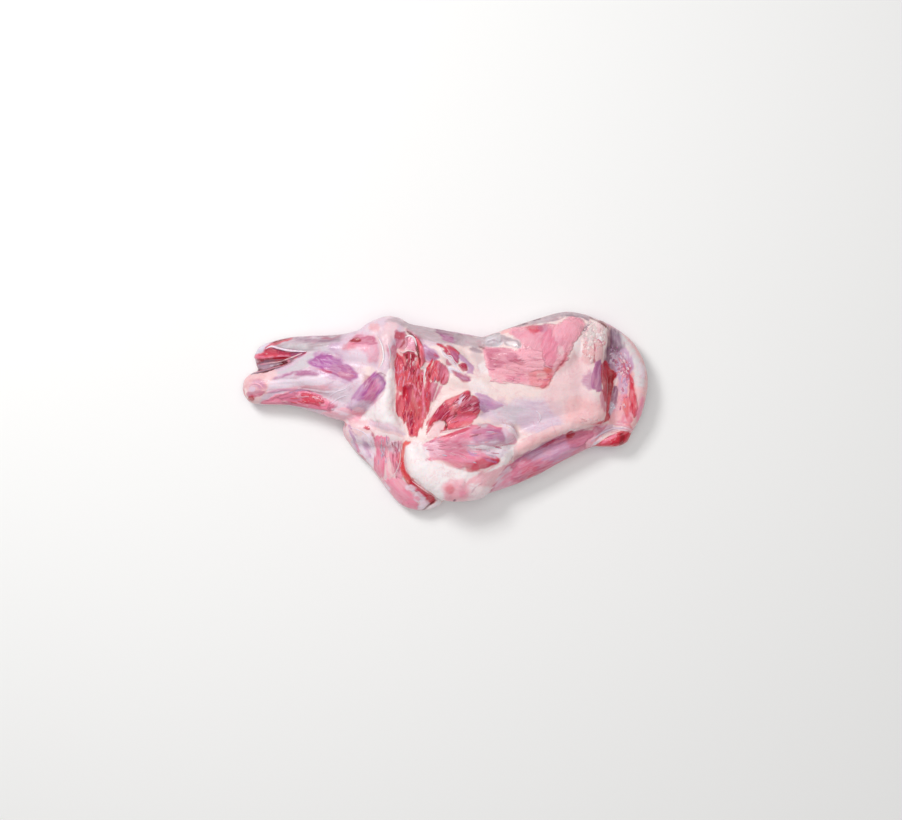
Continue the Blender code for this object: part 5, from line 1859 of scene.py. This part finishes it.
def skin_folds() -> Strands:
    """Curled edges of membrane: the slot's lip, the wet folds at the cut end, a fold of skin."""
    return Strands("skin_folds", (
        Strand((-184, 64, -178, 66.6, -170, 65, -160, 62.8, -150, 61.8, -142, 61.4), 2.6, 2.0,
               Shade.PEARL, lift=0.3),
        Strand((-199, 52, -190, 51.4, -176, 51.8, -164, 52.6), 1.5, 1.2, Shade.BLUSH),
        Strand((-23, -102, -16, -98, -9, -94.4, -3, -91), 4.2, 2.2, Shade.BLUSH, blunt=0.6,
               lift=0.3),
        Strand((-26, -104, -16, -100.4, -7, -96), 1.6, 1.4, Shade.PINK, blunt=0.4, lift=0.3),
        Strand((153, -28, 161, -22, 172, -17.4, 184, -17), 3.0, 1.1, Shade.PALE_LILAC),
        Strand((160, -26, 168, -21, 178, -18.8, 188, -20), 2.2, 1.0, Shade.BLUSH),
        Strand((172, -13.6, 182, -14, 190, -17.4), 2.0, 0.8, Shade.PETAL),
        Strand((148, -39, 153, -33, 160, -27), 2.2, 1.4, Shade.PEARL, lift=0.2),
        Strand((-48, 63, -43, 60.6, -38, 62.6, -31, 61), 2.4, 1.6, Shade.BLUSH, lift=0.2),
        Strand((-41, 76, -36, 77.6, -31, 74, -29, 67), 2.0, 1.4, Shade.IVORY, lift=0.2),
        Strand((-24, 46, -20, 44, -21, 38, -22, 30), 1.8, 1.4, Shade.IVORY, lift=0.2),
        Strand((-34, -71, -27, -76, -19, -82, -11, -88), 1.6, 1.4, Shade.SALMON),
        Strand((-197, 62, -190, 66.4, -183, 69), 2.0, 1.4, Shade.MIST),
        Strand((-206, 25, -205, 17, -199, 11.4, -192, 9.4), 1.8, 0.7, Shade.PEACH),
        Strand((-201, 25, -196, 28.6, -190, 27.4, -186, 23), 1.8, 0.8, Shade.PETAL),
    ))


def show(name: str, data: bpy.types.ID) -> bpy.types.Object:
    """Puts an object with this data into the scene."""
    made = bpy.data.objects.new(name, data)
    bpy.context.scene.collection.objects.link(made)
    return made


def store(mesh: bpy.types.Mesh, tint: np.ndarray, layers: np.ndarray, grain: np.ndarray,
          seam: np.ndarray) -> None:
    """Keeps each point's values on a mesh, where the finish reads them.

    Args:
        mesh: The mesh.
        tint: Linear colours, one a row.
        layers: How lean, fat, filmy and wet the points are, one a row.
        grain: Positions along and across the fibres in metres, with the height, one a row.
        seam: How near each point is to a jump of the fibres' direction.
    """
    kinds = {1: ("FLOAT", "value"), 3: ("FLOAT_VECTOR", "vector"), 4: ("FLOAT_COLOR", "color")}
    for name, values in {"tint": np.column_stack((tint, np.ones(len(tint)))), "grain": grain,
                         "seam": seam, **dict(zip(LAYERS, layers.T))}.items():
        kind, key = kinds[values[0].size]
        held = mesh.attributes.new(name, kind, "POINT")
        held.data.foreach_set(key, values.astype(np.float32).ravel())


def attach(piece: bpy.types.Object) -> bpy.types.Object:
    """Makes a piece part of the joint of meat."""
    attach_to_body(piece, BODY)
    log.info("%s: %d faces", piece.name, len(piece.data.polygons))
    return piece


@dataclass
class Studio:
    """A pale floor, soft lights and the camera straight above.

    Attributes:
        floor_size: Side of the floor.
        shown_width: Width of the view at the flesh's mid height.
        mid_height: That height.
        lens: Focal length in millimetres.
        centre: Where the view's middle is.
        ambient: Strength of the light from all sides.
    """

    floor_size: float = 6.0
    shown_width: float = 0.924
    mid_height: float = 0.035
    lens: float = 70.0
    centre: tuple[float, float] = (0.00615, 0.00154)
    ambient: float = 0.38

    FLOOR_COLOUR = (0.93, 0.925, 0.915, 1)
    FLOOR_ROUGHNESS = 0.9
    SENSOR = 36.0
    # Each lamp's place, size and power.
    LAMPS = {"key": ((-0.75, 0.8, 1.35), 0.5, 14.5), "overhead": ((0.0, 0.1, 2.3), 1.6, 15.0)}

    def floor(self) -> None:
        """Lays the floor."""
        half = self.floor_size / 2
        mesh = bpy.data.meshes.new("floor")
        mesh.from_pydata([(-half, -half, 0), (half, -half, 0), (half, half, 0), (-half, half, 0)],
                         [], [(0, 1, 2, 3)])
        g = Graph("pale_floor")
        g.plug(g.shader.inputs["Base Color"], self.FLOOR_COLOUR)
        g.plug(g.shader.inputs["Roughness"], self.FLOOR_ROUGHNESS)
        mesh.materials.append(g.material)
        show("floor", mesh)

    def light(self, name: str, place: Sequence[float], size: float, power: float) -> None:
        """Hangs one soft light that points at the meat."""
        lamp = bpy.data.lights.new(name, "AREA")
        lamp.size, lamp.energy = size, power
        made = show(name, lamp)
        made.location = place
        made.rotation_euler = (-Vector(place)).to_track_quat("-Z", "Y").to_euler()

    def camera(self) -> None:
        """Sets the camera above the meat, looking straight down."""
        lens = bpy.data.cameras.new("camera")
        lens.lens, lens.sensor_width = self.lens, self.SENSOR
        made = show("camera", lens)
        distance = self.shown_width * self.lens / self.SENSOR
        made.location = (*self.centre, self.mid_height + distance)
        bpy.context.scene.camera = made

    def build(self) -> None:
        """Sets up the studio."""
        scene = bpy.context.scene
        scene.view_settings.view_transform = "Standard"
        world = bpy.data.worlds.new("studio")
        world.use_nodes = True
        sky = world.node_tree.nodes["Background"]
        sky.inputs["Color"].default_value = (1, 1, 1, 1)
        sky.inputs["Strength"].default_value = self.ambient
        scene.world = world
        self.floor()
        for name, lamp in self.LAMPS.items():
            self.light(name, *lamp)
        self.camera()


def main() -> None:
    """Builds the joint of meat and the studio."""
    Studio().build()
    flesh = attach(Flesh().build())
    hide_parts(CAD_NODE)
    skin, finish = Skin(flesh), flesh.data.materials[0]
    for detail in (TornFibres(), fat_crumbs(), wet_lumps(), sinews(), skin_folds()):
        detail.build(skin, finish)


if __name__ == "__main__":
    logging.basicConfig(level=logging.INFO, format="%(message)s")
    main()
